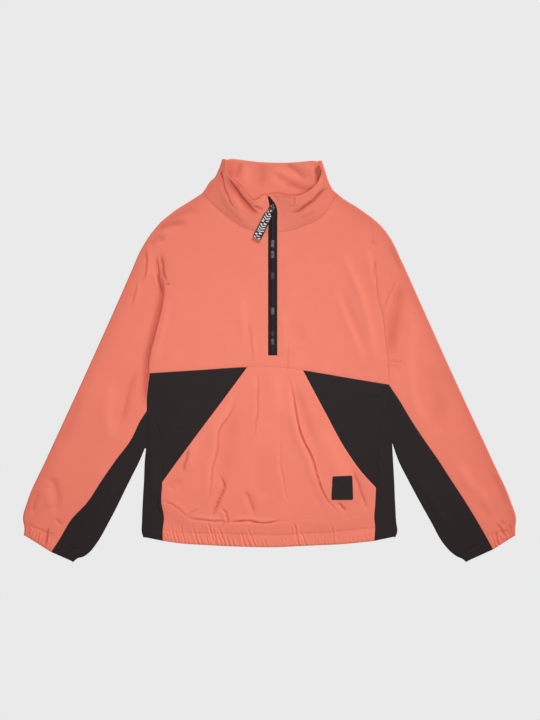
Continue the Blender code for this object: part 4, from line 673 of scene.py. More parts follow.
class Pattern:
    """The seams that neighbouring pieces share, worked out once from the tables."""

    def __init__(self):
        self.rim, self.rim_ways, self.armhole, self.neck, self.side = {}, {}, {}, {}, {}
        for side in SIDES:
            self.rim[side] = Line(SHOULDER[side])
            coarse = self.rim[side].cut(np.linspace(0, 1, SHOULDER_FACETS + 1))
            ways = inward(coarse, np.zeros_like(coarse))
            ways[0] = across_corner(SLEEVE_OUTER[side][1], coarse[1], -coarse[0])
            ways[-1] = across_corner(coarse[-2], COLLAR_SIDE[side][2], -coarse[-1])
            self.rim_ways[side] = ways
            top, underarm = coarse[0] + ROLL * ways[0], ARMHOLE[side][-1]
            foot = (underarm[0], underarm[1] + ROLL)
            self.armhole[side] = Line([tuple(top), *ARMHOLE[side][1:-1], foot])
            self.neck[side] = Line([tuple(coarse[-1] + ROLL * ways[-1]), *NECK[side]])
            self.side[side] = Line(SIDE_SEAM[side])
        ends = [tuple(self.neck[side].fine[0]) for side in SIDES]
        self.back_neck = Line([ends[0], *BACK_NECK, ends[1]])
        self.hem, self.yoke, self.bag = Line(HEM), Line(YOKE_SEAM), Line(BAG_LINE)
        self.mouth = {side: Line(POCKET_MOUTH[side]) for side in SIDES}
        self.gusset = {side: Line(GUSSET_SEAM[side]) for side in SIDES}
        self.seam_lines = self.seams()
        self.neck_lines = [sampled_line(self.neck[side]) for side in SIDES]
        self.hem_stitches = [sampled(HEM_STITCH)]
        self.bag_stitches = [sampled_line(self.bag)]
        self.yoke_stitches = [beside(sampled_line(self.neck[side]), by) for side, by in NECK_STITCH.items()]

    def shoulder(self, side, at):
        """Silhouette points of a shoulder and the directions in which it turns over."""
        places = np.linspace(0, 1, SHOULDER_FACETS + 1)
        ways = np.stack([np.interp(at, places, column) for column in self.rim_ways[side].T], axis=1)
        return self.rim[side].cut(at), unit_rows(ways)

    def seams(self):
        """All the seam lines of the upper layer, for the dips beside them."""
        lines = [sampled_line(self.yoke)]
        for side in SIDES:
            lines += [sampled_line(line[side]) for line in (self.neck, self.side, self.mouth, self.gusset)]
            arm = sampled_line(self.armhole[side])
            lines.append(arm[arm[:, 1] < ARMHOLE_SHOWS[side]])
        for x in (ZIP_LEFT, ZIP_RIGHT):
            lines.append(np.array([(x, y) for y in np.linspace(ZIP_BOTTOM, 222, 31)]))
        lines.append(np.array([(ZIP_LEFT, ZIP_BOTTOM), (ZIP_RIGHT, ZIP_BOTTOM)]))
        return lines


def beside(path, by):
    """The path moved sideways, to its left for a positive distance."""
    along = unit_rows(np.gradient(path, axis=0))
    return path + by * np.stack([-along[:, 1], along[:, 0]], axis=1)


def on_rows(points, within=3.5):
    """The points, with the nearest one to each row of the armholes moved onto that row."""
    points = np.array(points)
    for row in ARMHOLE["left"][1:-1] + ARMHOLE["right"][1:-1]:
        distance = np.linalg.norm(points - row, axis=1)
        if distance.min() < within:
            points[distance.argmin()] = row
    return points


def across_corner(before, after, towards):
    """Unit direction into the cloth at a corner of the silhouette, square to the line past it."""
    line = np.array(after) - np.array(before)
    square = unit(np.array([-line[1], line[0]]))
    return square * np.sign(np.dot(square, towards))


# ---------------------------------------------------------------- cloth pieces
SMOOTH_ROLL = 10        # facets round a whole turned edge
QUARTER = 6             # facets round half of one, at the shoulder seam
ROLL_LEAD = 14          # distance from a turned edge over which folds reach their full height
SHOULDER_LEAD = 10      # and from a shoulder's turn


def layer(points, height):
    """The points from above, each at its height."""
    return np.concatenate([points[..., :2], height[..., None]], axis=-1)


def faces_of(flat, base, soft, cuts, wall, edge=0.0):
    """Outer and inner points of an upper layer: soft relief moves both, cuts only the outer face."""
    outer = base + soft - cuts - edge
    inner = np.minimum(base + soft - wall, base + soft - cuts - 0.5) + edge
    return layer(flat, outer), layer(flat, inner)


def two_legs(line, row, first, second):
    """Points along a line to one of its rows, then on to its end."""
    return np.concatenate([line.cut(first, 0, row), line.cut(second, row)[1:]])


def wrapped(name, made, pattern, edge, seam, start, first_way, look):
    """A panel that turns round the silhouette: flat below, rolled at the edge, folds on top."""
    ways = inward(edge, seam)
    led = ease(reach_of(edge) / made.lead)[:, None]
    ways = unit_rows(np.array(first_way) * (1 - led) + ways * led)
    turned = edge + ROLL * ways
    grids = {}
    for part, steps in (("upper", made.across), ("lower", made.across // 3)):
        u = shares(steps, first=False)
        begin = on_rows(spread(start, u))
        finish = turned[-1] + (seam[-1] - turned[-1]) * u[:, None]
        sides = inset([
            ("edge", edge, 0), ("turn", np.array([edge[-1], turned[-1]]), 0), ("end", finish, 0),
            ("seam", seam[::-1], SEWN / 2), ("start", begin[::-1], SEWN / 2),
            ("tuck", np.array([begin[0], edge[0]]), SEWN / 2)])
        rim = sides["edge"].copy()
        rim[-1] = edge[-1]
        tops = rim + (turned - edge)
        tops[0], tops[-1] = sides["tuck"][0], turned[-1]
        grids[part] = relax(patch(tops, sides["seam"][::-1], sides["start"][::-1], sides["end"]))
    upper, lower = grids["upper"], grids["lower"][::-1]
    outer, inner = [], []
    gap = from_end(lower)
    wall, turn_in = free_edge(gap)
    outer.append(layer(lower, turn_in))
    inner.append(layer(lower, wall - turn_in))
    gap = from_end(tops[None])[0]
    wall, turn_in = free_edge(gap)
    for k in range(1, SMOOTH_ROLL):
        turn = math.pi * k / SMOOTH_ROLL
        for into, radius in ((outer, ROLL - turn_in), (inner, ROLL - wall + turn_in)):
            spot = tops + (rim - tops) * (radius / ROLL * math.sin(turn))[:, None]
            into.append(layer(spot, ROLL - radius * math.cos(turn))[None])
    gap = from_end(upper)
    wall, turn_in = free_edge(gap)
    x, y = upper[..., 0], upper[..., 1]
    soft, sharp = folds(made.on, x, y)
    past_roll = np.linalg.norm(upper - tops, axis=2)
    from_roll = ease(past_roll / ROLL_LEAD)
    cuts = seam_dips(pattern.seam_lines, x, y) * ease(past_roll / 3 + 0.2)
    cuts += sharp * from_roll + STITCH_GROOVE[0] * bell(gap - CASING, STITCH_GROOVE[1])
    if made.gathers:
        soft = soft + cuff_relief(progress(upper[:, -1])[:, None] * measured(upper[:, -1]), gap)
    faces = faces_of(upper, TOP, soft * from_roll, cuts, wall, turn_in)
    outer.append(faces[0])
    inner.append(faces[1])
    outer, inner = np.concatenate(outer), np.concatenate(inner)
    # Painted shade and highlight of the upper face, faded in from the roll.
    painted_shade_depth = np.zeros(outer.shape[:2])
    painted_shade_depth[-len(upper):] = marks(made.on, x, y, soft, sharp) * from_roll
    return cloth(name, outer, inner, look, sharp=painted_shade_depth)


def cuff_relief(u, gap):
    """Gathers of a cuff: u across it in millimetres, gap up from its free edge."""
    width = u.max()
    total = CASING_PUFF * ease(gap / 4) * ease((CASING + 5 - gap) / 7) + 0 * u
    for k, (share, depth) in enumerate(CUFF_GATHERS):
        off = u - share * width - 1.2 * np.sin(gap * 0.2 + k * 2.1)
        length = CASING + 5 + 4 * math.sin(2.3 * k)
        fade = ease((length - gap) / 8)
        total = total - depth * 1.3 * bell(off, 1.4) * fade + 0.5 * depth * bell(off - 3, 1.8) * fade
    return total


# Panels that turn round the silhouette: the name of their folds, their outline and its row where the
# casing starts, mesh steps before and past that row, at the start and across, over what length the turn
# takes up its own direction, and whether the end is gathered.
Panel = namedtuple("Panel", "on outline row along past start across lead gathers")
PANELS = {
    "sleeve": Panel("sleeve", SLEEVE_OUTER, 8, 264, 18, 240, 78, 36, True),
    "sleeve_gusset": Panel("gusset", SLEEVE_INNER, 6, 110, 14, 120, 30, 20, False),
    "side_panel": Panel("side", BODY_SIDE, 4, 84, 16, 80, 24, 13, False),
}
CASING_ROW = 7          # row of the gusset's and side's seams where the casing starts


def panel(kind, side, pattern, look):
    """A sleeve, its gusset or a side panel; each starts on its own stretch of the armhole."""
    made = PANELS[kind]
    first, second = shares(made.along, last=False), shares(made.past, first=False)
    edge = two_legs(Line(made.outline[side]), made.row, first, second)
    seams = pattern.side if kind == "side_panel" else pattern.gusset
    seam = two_legs(seams[side], CASING_ROW, first, second)
    armhole, up = pattern.armhole[side], np.linspace(1, 0, made.start + 1)
    if kind == "sleeve":
        start, first_way = armhole.cut(1 - up, 0, GUSSET_ROW[side]), pattern.rim_ways[side][0]
    else:
        row = SIDE_ROW if kind == "side_panel" else GUSSET_ROW[side]
        start, first_way = armhole.cut(up, row), (0, 1)
    return wrapped(f"{kind}_{side}_cloth", made, pattern, edge, seam, start, first_way, look)


def shoulder_turn(points, rim, radius, angle, upper):
    """Points of the quarter turn from a layer's flat to the shoulder seam."""
    spot = points + (rim - points) * (radius / ROLL * math.sin(angle))
    height = np.full(len(points), radius * math.cos(angle))
    return layer(spot, ROLL + height if upper else ROLL - height)


def turn_rows(flat, rims, columns, upper):
    """Rows of the quarter turn over both shoulders, outer and inner, from the seam inwards."""
    made = []
    for radius in (ROLL, ROLL - CLOTH):
        rows = np.zeros((flat.shape[0], QUARTER, 3))
        limit = math.acos(SEWN / 2 / radius)
        for step in range(1, QUARTER + 1):
            angle = step / QUARTER * limit
            count = columns + 1
            rows[:count, QUARTER - step] = shoulder_turn(flat[:count, 0], rims["left"], radius, angle, upper)
            rows[-count:, QUARTER - step] = shoulder_turn(flat[-count:, 0], rims["right"][::-1], radius,
                                                          angle, upper)
        made.append(rows)
    return made


def with_shoulders(faces, flat, rims, columns, upper):
    """Outer and inner points with both shoulders' turns added, and the mask of the cells that stay."""
    turned = turn_rows(flat, rims, columns, upper)
    outer, inner = [np.concatenate([rows, face], axis=1) for rows, face in zip(turned, faces)]
    keep = np.ones((outer.shape[0] - 1, outer.shape[1] - 1), bool)
    keep[columns:-columns, :QUARTER] = False
    return outer, inner, keep


def body_runs(pattern, at, neck_runs, arms, bottom, seams=None):
    """Runs of a body piece, round from the left shoulder: neck, right side, bottom, left side."""
    half = SEWN / 2
    rims = {side: pattern.shoulder(side, at)[0] for side in SIDES}
    starts = {side: pattern.neck[side].fine[0] for side in SIDES}
    runs = [("rim_left", rims["left"], 0),
            ("tuck_left", np.array([rims["left"][-1], starts["left"]]), half), *neck_runs,
            ("tuck_right", np.array([starts["right"], rims["right"][-1]]), half),
            ("rim_right", rims["right"][::-1], 0),
            ("end_right", np.array([rims["right"][0], arms["right"][0]]), half),
            ("arm_right", arms["right"], half)]
    if seams:
        runs.append(("seam_right", seams["right"], half))
    runs.append(("hem", bottom[::-1], 0 if seams else half))
    if seams:
        runs.append(("seam_left", seams["left"][::-1], half))
    return runs + [("arm_left", arms["left"][::-1], half),
                   ("end_left", np.array([arms["left"][0], rims["left"][0]]), half)]


def shoulder_tops(pattern, at, sides):
    """The silhouette points of both shoulders and the points where their turn begins."""
    rims = {"left": sides["rim_left"], "right": sides["rim_right"][::-1]}
    tops = {side: rims[side] + ROLL * pattern.shoulder(side, at)[1] for side in SIDES}
    tops["left"][0], tops["right"][0] = sides["arm_left"][-1], sides["arm_right"][0]
    tops["left"][-1], tops["right"][-1] = sides["tuck_left"][-1], sides["tuck_right"][0]
    return rims, tops


def front_yoke(pattern, look):
    """The upper front, in two halves beside the zip's slot and a strip below it."""
    along, strip, across, slot = 120, 10, 64, 8
    at = np.linspace(0, 1, 37)
    arms = {side: on_rows(pattern.armhole[side].cut(np.linspace(0, 1, along + strip + 1), 0, YOKE_ROW))
            for side in SIDES}
    slots = {side: np.array([(x, y) for y in np.linspace(pattern.neck[side].fine[-1][1], ZIP_BOTTOM,
                                                         along + 1)])
             for side, x in (("left", ZIP_LEFT), ("right", ZIP_RIGHT))}
    necks = {side: pattern.neck[side].cut(np.linspace(0, 1, across + 1)) for side in SIDES}
    half = SEWN / 2
    count = 2 * (len(at) - 1 + across) + slot
    foot = np.linspace(slots["left"][-1], slots["right"][-1], slot + 1)
    sides = inset(body_runs(pattern, at, [
        ("neck_left", necks["left"], half), ("slot_left", slots["left"], half), ("slot_end", foot, half),
        ("slot_right", slots["right"][::-1], half), ("neck_right", necks["right"][::-1], half),
    ], arms, pattern.yoke.cut(np.linspace(0, 1, count + 1))))
    rims, tops = shoulder_tops(pattern, at, sides)
    arm_left, arm_right = sides["arm_left"][::-1], sides["arm_right"]
    slot_left, slot_right, foot = sides["slot_left"], sides["slot_right"][::-1], sides["slot_end"]
    top_left = np.concatenate([tops["left"], sides["neck_left"][1:]])
    top_right = np.concatenate([sides["neck_right"][:-1], tops["right"][::-1]])
    line_left = arm_left[along] + (slot_left[-1] - arm_left[along]) * progress(top_left)[:, None]
    line_right = slot_right[-1] + (arm_right[along] - slot_right[-1]) * progress(top_right)[:, None]
    block_left = patch(arm_left[:along + 1], slot_left, top_left, line_left)
    block_right = patch(slot_right, arm_right[:along + 1], top_right, line_right)
    u = np.linspace(0, 1, slot + 1)[1:-1, None, None]
    between = block_left[-1:] * (1 - u) + block_right[:1] * u
    flat = np.concatenate([block_left, between, block_right])
    flat[:, along] = np.concatenate([line_left, foot[1:-1], line_right])
    below = patch(arm_left[along:], arm_right[along:], flat[:, along], sides["hem"][::-1])
    flat = np.concatenate([flat, below[:, 1:]], axis=1)
    x, y = flat[..., 0], flat[..., 1]
    soft, sharp = folds("body", x, y)
    from_rim = shoulder_fade(pattern, x, y)
    cuts = seam_dips(pattern.seam_lines, x, y) + sharp + stitch_grooves(pattern.yoke_stitches, x, y)
    faces = faces_of(flat, TOP, soft * from_rim, cuts * from_rim, CLOTH)
    outer, inner, keep = with_shoulders(faces, flat, rims, len(at) - 1, upper=True)
    keep[len(at) - 1 + across:-(len(at) - 1 + across), :QUARTER + along] = False
    # Painted shade and highlight of the face, none on the shoulders' turn.
    painted_shade_depth = np.pad(marks("body", x, y, soft, sharp) * from_rim, ((0, 0), (QUARTER, 0)))
    return cloth("front_yoke_cloth", outer, inner, look, keep, sharp=painted_shade_depth)


def shoulder_fade(pattern, x, y):
    """0 on the shoulders' turn and 1 away from it."""
    fade = np.ones(x.size)
    for side in SIDES:
        found, off, _ = near(pattern.rim[side].cut(np.linspace(0, 1, 13)), x.ravel(), y.ravel(), 16)
        fade[found] = np.minimum(fade[found], ease((np.abs(off) - ROLL) / SHOULDER_LEAD))
    return fade.reshape(x.shape)


def back(pattern, look):
    """The back, flat on the surface, with its shoulders turned up to the shoulder seam."""
    at = np.linspace(0, 1, 17)
    neck = pattern.back_neck.cut(shares(46, first=False, last=False))
    arms = {side: pattern.armhole[side].cut(np.linspace(0, 1, 81), 0, SIDE_ROW) for side in SIDES}
    seams = {side: pattern.side[side].cut(np.linspace(0, 1, 61)) for side in SIDES}
    count = 2 * (len(at) - 1) + len(neck) - 1
    sides = inset(body_runs(pattern, at, [("neck", neck, SEWN / 2)], arms,
                            pattern.hem.cut(np.linspace(0, 1, count + 1)), seams))
    rims, tops = shoulder_tops(pattern, at, sides)
    left = np.concatenate([sides["arm_left"][::-1], sides["seam_left"][::-1][1:]])
    right = np.concatenate([sides["arm_right"], sides["seam_right"][1:]])
    top = np.concatenate([tops["left"], sides["neck"][1:-1], tops["right"][::-1]])
    flat = patch(left, right, top, sides["hem"][::-1])
    wall, turn_in = free_edge(from_end(flat))
    faces = layer(flat, turn_in), layer(flat, wall - turn_in)
    outer, inner, keep = with_shoulders(faces, flat, rims, len(at) - 1, upper=False)
    return cloth("back_cloth", outer, inner, look, keep)


def pocket_faces(pattern, x, y):
    """The pocket at points of it: its height, soft relief, cuts into its face and sharp folds."""
    bag = np.array(BAG_LINE)
    above = y - np.interp(x, bag[:, 0], bag[:, 1])
    base = TOP + (SEAM + CLOTH) * (1 - ease((-above - 3) / 30))
    soft, sharp = folds("pocket", x, y)
    soft = soft + hem_relief(x, y)
    cuts = sharp + seam_dips(pattern.seam_lines, x, y) + stitch_grooves(pattern.hem_stitches, x, y)
    cuts += stitch_grooves(pattern.bag_stitches, x, y, *BAG_GROOVE)
    return base, soft, cuts, sharp


def pocket_panel(pattern, look):
    """The pocket's front, from the yoke seam to the gathered hem, open at its slanted mouths."""
    down, rest, across = 140, 66, 300
    edges = {}
    for side in SIDES:
        mouth = pattern.mouth[side].cut(shares(down, last=False))
        below = pattern.side[side].cut(shares(rest, first=False), MOUTH_ROW)
        mouth[-1] = below[0]
        edges[side] = np.concatenate([mouth, below[1:]])
    u = shares(across)
    sides = inset([("top", pattern.yoke.cut(u, *POCKET_TOP), SEWN / 2), ("right", edges["right"], SEWN / 2),
                   ("hem", pattern.hem.cut(u)[::-1], 0), ("left", edges["left"][::-1], SEWN / 2)])
    flat = patch(sides["left"][::-1], sides["right"], sides["top"], sides["hem"][::-1])
    x, y = flat[..., 0], flat[..., 1]
    base, soft, cuts, sharp = pocket_faces(pattern, x, y)
    outer, inner = faces_of(flat, base, soft, cuts, *free_edge(from_end(flat)))
    # Painted shade: darker along the hem's stitch channel, along crease lines and troughs and beside the
    # shade lines; painted highlight on ridges.
    lines = stitch_grooves(pattern.hem_stitches, x, y, *HEM_CHANNEL_SHADE)
    deep = marks("pocket", x, y, soft, sharp + lines)
    return cloth("pocket_panel_cloth", outer, inner, look, sharp=deep)


def lower_front(pattern, look):
    """The lower front, which runs on behind the pocket to the bag's stitch line."""
    edges = {}
    for side in SIDES:
        arm = pattern.armhole[side].cut(shares(20, last=False), YOKE_ROW, SIDE_ROW)
        seam = pattern.side[side].cut(shares(76, first=False), 0, BAG_ROW)
        edges[side] = np.concatenate([arm, seam[1:]])
    u = shares(180)
    bag = Line([tuple(edges["left"][-1]), *BAG_LINE[1:-1], tuple(edges["right"][-1])]).cut(u)
    sides = inset([("top", pattern.yoke.cut(u), SEWN / 2), ("right", edges["right"], SEWN / 2),
                   ("bag", bag[::-1], SEWN / 2), ("left", edges["left"][::-1], SEWN / 2)])
    flat = patch(sides["left"][::-1], sides["right"], sides["top"], sides["bag"][::-1])
    x, y = flat[..., 0], flat[..., 1]
    soft, sharp = folds("lower", x, y)
    cuts = seam_dips(pattern.seam_lines, x, y) + sharp
    base, puff, deep, _ = pocket_faces(pattern, x, y)
    under = base + puff - np.maximum(CLOTH, deep + 0.5) - 0.25
    covered = covered_by_pocket(x, y)
    height = np.where(covered, np.minimum(TOP + soft, under), TOP + soft)
    cuts = np.where(covered, 0, cuts)
    outer, inner = faces_of(flat, height, 0, cuts, CLOTH)
    return cloth("lower_front_cloth", outer, inner, look)


def covered_by_pocket(x, y):
    """Which points of the lower front lie behind the pocket."""
    inside = np.ones(x.shape, bool)
    for side, sign in (("left", 1), ("right", -1)):
        mouth = np.array(POCKET_MOUTH[side] + [(POCKET_MOUTH[side][-1][0], -400)])[::-1]
        inside &= sign * (x - np.interp(y, mouth[:, 1], mouth[:, 0])) > 0
    return inside


def collar_side(side, pattern, at):
    """Points of the collar's fold, up the collar: silhouette, direction and radius."""
    line = Line(COLLAR_SIDE[side])
    coarse = line.cut(np.linspace(0, 1, 8))
    ways = inward(coarse, np.stack([np.zeros(8), coarse[:, 1]], axis=1))
    ways[0] = pattern.rim_ways[side][-1]
    ways[-1] = unit(ways[-1] + np.array([0, 0.1]))
    ways = np.stack([np.interp(at, np.linspace(0, 1, 8), column) for column in ways.T], axis=1)
    return line.cut(at), unit_rows(ways), ROLL + (COLLAR_TURN - ROLL) * at


def collar(pattern, look):
    """The stand collar, a ring that lies folded: front left, fold, back, fold, front right."""
    v, u, turn_steps = shares(44), shares(80, last=False), 12
    fronts, turns, backs, cuts, painted_shade_depth = {}, {}, {}, {}, {}
    for side in SIDES:
        rim, ways, radii = collar_side(side, pattern, v)
        flat = rim + ways * radii[:, None]
        tops = np.column_stack([flat, 2 * radii])
        seam = pattern.neck[side].cut(1 - u)
        seam = np.column_stack([seam, np.full(len(seam), TOP)])
        edge = Line(COLLAR_RIM[side] + [tuple(tops[-1])]).cut(u)
        grid = patch(Line(COLLAR_END[side]).cut(v), tops, seam, edge)
        up = progress(grid[0])[None, :]
        bulge = np.sin(np.pi * u)[:, None] * np.sin(np.pi * np.minimum(up, 0.9))
        grid[..., 2] += COLLAR_BULGE * bulge * ease(up / 0.1)
        x, y = grid[..., 0], grid[..., 1]
        soft, sharp = folds("collar", x, y)
        grid[..., 2] += soft * ease(up * 5) * ease((1 - u)[:, None] * 8)
        # Painted shade and highlight of this front.
        painted_shade_depth[side] = marks("collar", x, y, soft, sharp)
        groove = STITCH_GROOVE[0] * bell(from_end(grid) - RIM_STITCH, STITCH_GROOVE[1])
        fronts[side], cuts[side] = grid, sharp + (seam_dips(pattern.neck_lines, x, y) + groove)
        backs[side] = np.column_stack([flat, np.zeros(len(flat))])
        arc = []
        for k in range(1, turn_steps):
            turn = math.pi * k / turn_steps
            spot = flat - ways * (radii * math.sin(turn))[:, None]
            arc.append(np.column_stack([spot, radii * (1 + math.cos(turn))]))
        turns[side] = np.array(arc)
    across = np.linspace(0, 1, 89)
    low = pattern.back_neck.cut(across)
    high = Line([tuple(backs["left"][-1][:2]), *BACK_RIM, tuple(backs["right"][-1][:2])]).cut(across)
    behind = patch(backs["left"][:, :2], backs["right"][:, :2], low, high)
    behind = layer(behind, np.zeros(behind.shape[:2]))
    outer = np.concatenate([fronts["left"], turns["left"], behind, turns["right"][::-1],
                            fronts["right"][::-1]])
    first = len(fronts["left"]) + len(turns["left"])
    middle = slice(first, first + len(behind))
    normal = unit_rows(np.cross(np.gradient(outer, axis=1), np.gradient(outer, axis=0)))
    normal[first + 1:first + len(behind) - 1] = (0, 0, -1)
    wall = CLOTH + (COLLAR_WALL - CLOTH) * ease(progress(outer[0]) / 0.1)
    wall = np.broadcast_to(wall[None, :, None], (*outer.shape[:2], 1))
    inner = outer - normal * wall
    x, y = inner[middle, :, 0], inner[middle, :, 1]
    soft, sharp = folds("inside", x, y)
    held = ease(8 * np.minimum(across, 1 - across))[:, None] * ease(progress(outer[first])[None] * 6)
    hollows = np.maximum(soft - sharp, THIN - COLLAR_WALL)
    inner[middle, :, 2] += hollows * held * ease(from_end(behind) / 5)
    # Painted shade and highlight of the inner face behind the zip, stronger than its relief, where less
    # light reaches.
    within = np.zeros(outer.shape[:2])
    within[middle] = marks("inside", x, y, INSIDE_TONE * soft, sharp) * held
    lowered = np.zeros(outer.shape[:2])
    lowered[:len(fronts["left"])] = cuts["left"]
    lowered[-len(fronts["right"]):] = cuts["right"][::-1]
    # Painted shade and highlight of both fronts, for the colour.
    deep = np.zeros(outer.shape[:2])
    deep[:len(fronts["left"])], deep[-len(fronts["right"]):] = painted_shade_depth["left"], painted_shade_depth["right"][::-1]
    gap = from_end(outer)
    gap[:, -1] = 0
    round_in = pinch(gap, COLLAR_WALL)[..., None] * normal
    outer = outer - normal * lowered[..., None] - round_in
    inner = inner + round_in
    for face in (outer, inner):
        face[:, 0] += unit_rows(face[:, 1] - face[:, 0]) * SEWN / 2
        face[0] += unit_rows(face[1] - face[0]) * SEWN / 2
        face[-1] += unit_rows(face[-2] - face[-1]) * SEWN / 2
    return cloth("collar_cloth", outer, inner, look, sharp=deep, inner_painted_shade=within)


# ---------------------------------------------------------------- zip
TAPE_WALL, TAPE_SUNK, TAPE_TOP = 1.0, 0.3, 285.0
CHAIN_WIDTH, CHAIN_WALL = 5.6, 1.4
SLIDER_AT = (5.0, 266.5)
SLIDER_SIZE = (7.4, 10.0, 1.9)
SLIDER_BASE = 8.9
CHAIN_TOP = SLIDER_AT[1] - SLIDER_SIZE[1] / 2 - SEAM
COIL_PITCH, COIL_RIPPLE = 1.3, 0.16
TAPE_RIBS = (0.05, 1.6)         # height and pitch of the tape's woven ribs
CHAIN_GROOVE = (0.55, 0.45)     # depth and half width of the line where the coils meet


def zip_edges(y):
    """The slot's two edges and the height of the cloth beside it, along the zip."""
    edges = []
    for side, foot in (("left", ZIP_LEFT), ("right", ZIP_RIGHT)):
        rows = Line(COLLAR_END[side]).fine
        edges.append(np.interp(y, rows[:, 1], rows[:, 0], left=foot))
    return (*edges, np.interp(y, rows[:, 1], rows[:, 2], left=TOP))


def zip_strip(name, low, high, steps, across, width, lowest, relief, look):
    """A strip along the zip, its relief a function of the distance from its middle and along it."""
    y = np.linspace(low, high, steps + 1)
    left, right, top = zip_edges(y)
    half = np.full(len(y), width / 2) if width else (right - left) / 2 - SEAM
    share = np.linspace(-1, 1, across + 1)[:, None]
    x = (left + right) / 2 + share * half
    grid = np.stack([x, np.broadcast_to(y, x.shape)], axis=-1)
    height = np.broadcast_to(top + lowest, x.shape)
    outer = layer(grid, height + relief(share * half, y[None] + 0 * x))
    return cloth(name, outer, layer(grid, height), look)


def zip_tape(look):
    """The woven tape, its edges sunk a little beside the cloth."""
    def relief(off, along):
        ribs = TAPE_RIBS[0] * np.sin(off * 2 * math.pi / TAPE_RIBS[1])
        return TAPE_WALL + ribs - 0.2 * bell(np.abs(off) - 7.6, 0.5)
    return zip_strip("zip_tape_woven", ZIP_BOTTOM + SEAM, TAPE_TOP, 180, 64, None, -TAPE_SUNK - TAPE_WALL,
                     relief, look)


def zip_chain(look):
    """The closed chain: two rows of coils that meet in a groove."""
    def relief(off, along):
        shoulder = 1 - np.clip(np.abs(off) / (CHAIN_WIDTH / 2), 0, 1)**4
        ripple = COIL_RIPPLE * np.sin(along * 2 * math.pi / COIL_PITCH + math.pi * (off > 0)) * shoulder
        return CHAIN_WALL * (0.35 + 0.6 * shoulder) + ripple - CHAIN_GROOVE[0] * bell(off, CHAIN_GROOVE[1])
    steps = int((CHAIN_TOP - ZIP_BOTTOM - 3) / COIL_PITCH * 3) * 2
    return zip_strip("zip_chain_closed", ZIP_BOTTOM + 3, CHAIN_TOP, steps, 12, CHAIN_WIDTH,
                     SEAM - TAPE_SUNK, relief, look)


# ---------------------------------------------------------------- pull
HINGE_HEIGHT = 12.45
RING_WIRE = 0.7
RING_SIZE = (9.0, 8.0)
RING_CORNER = 1.2
RIBBON_WIDTH, RIBBON_NECK, RIBBON_TAPER = 15.0, 5.8, 9.0
RIBBON_WALL = 0.9
RIBBON_REACH = 61.0
PULL_END = (-23.5, 209.5)
PULL_END_HEIGHT = 10.6


class Pull:
    """The pull's own directions: across is its hinge's axis, along runs to the ribbon's free end."""

    def __init__(self):
        self.hinge = np.array([*SLIDER_AT, HINGE_HEIGHT])
        flat = unit(np.array(PULL_END) - SLIDER_AT)
        drop = (HINGE_HEIGHT - PULL_END_HEIGHT) / RIBBON_REACH
        self.along = unit(np.array([*flat, -drop]))
        self.across = np.array([-flat[1], flat[0], 0])
        self.up = np.cross(self.along, self.across)
        self.up *= np.sign(self.up[2])

    def at(self, across, along, up):
        """The place that lies this far from the hinge in the pull's own directions."""
        return self.hinge + across * self.across + along * self.along + up * self.up


def pull_ring(pull, look):
    """A wire ring with rounded corners; one of its bars turns in the slider's bridge."""
    way = []
    half = RING_SIZE[0] / 2 - RING_CORNER
    for k, (a, r) in enumerate([(half, RING_CORNER), (half, RING_SIZE[1] - RING_CORNER),
                                (-half, RING_SIZE[1] - RING_CORNER), (-half, RING_CORNER)]):
        for turn in np.radians(np.linspace(-90, 0, 7)) + k * math.pi / 2:
            way.append((a + RING_CORNER * math.cos(turn), r + RING_CORNER * math.sin(turn)))
    way = np.array(way)
    tangent = unit_rows(np.roll(way, -1, axis=0) - np.roll(way, 1, axis=0))
    turns = np.linspace(0, 2 * math.pi, 13)[:-1]
    points = []
    for spot, along in zip(way, tangent):
        square = np.array([-along[1], along[0]])
        for turn in turns:
            a, r = spot + square * RING_WIRE * math.cos(turn)
            points.append(pull.at(a, r, RING_WIRE * math.sin(turn)))
    return piece("pull_ring_wire", np.array(points), tube_faces(len(way), len(turns)), look, "zip_pull")


def tube_faces(rings, sides):
    """Faces of a closed ring of rings."""
    ids = np.arange(rings * sides).reshape(rings, sides)
    after = np.roll(ids, -1, axis=0)
    corners = (ids, after, np.roll(after, -1, axis=1), np.roll(ids, -1, axis=1))
    return np.stack(corners, -1).reshape(-1, 4).tolist()


def capped_faces(rings, sides, start=0):
    """Faces of a bar of rings, closed at both ends."""
    ids = start + np.arange(rings * sides).reshape(rings, sides)
    after = np.roll(ids, -1, axis=1)
    walls = np.stack([ids[:-1], after[:-1], after[1:], ids[1:]], -1).reshape(-1, 4)
    return [*walls.tolist(), ids[0, ::-1].tolist(), ids[-1].tolist()]


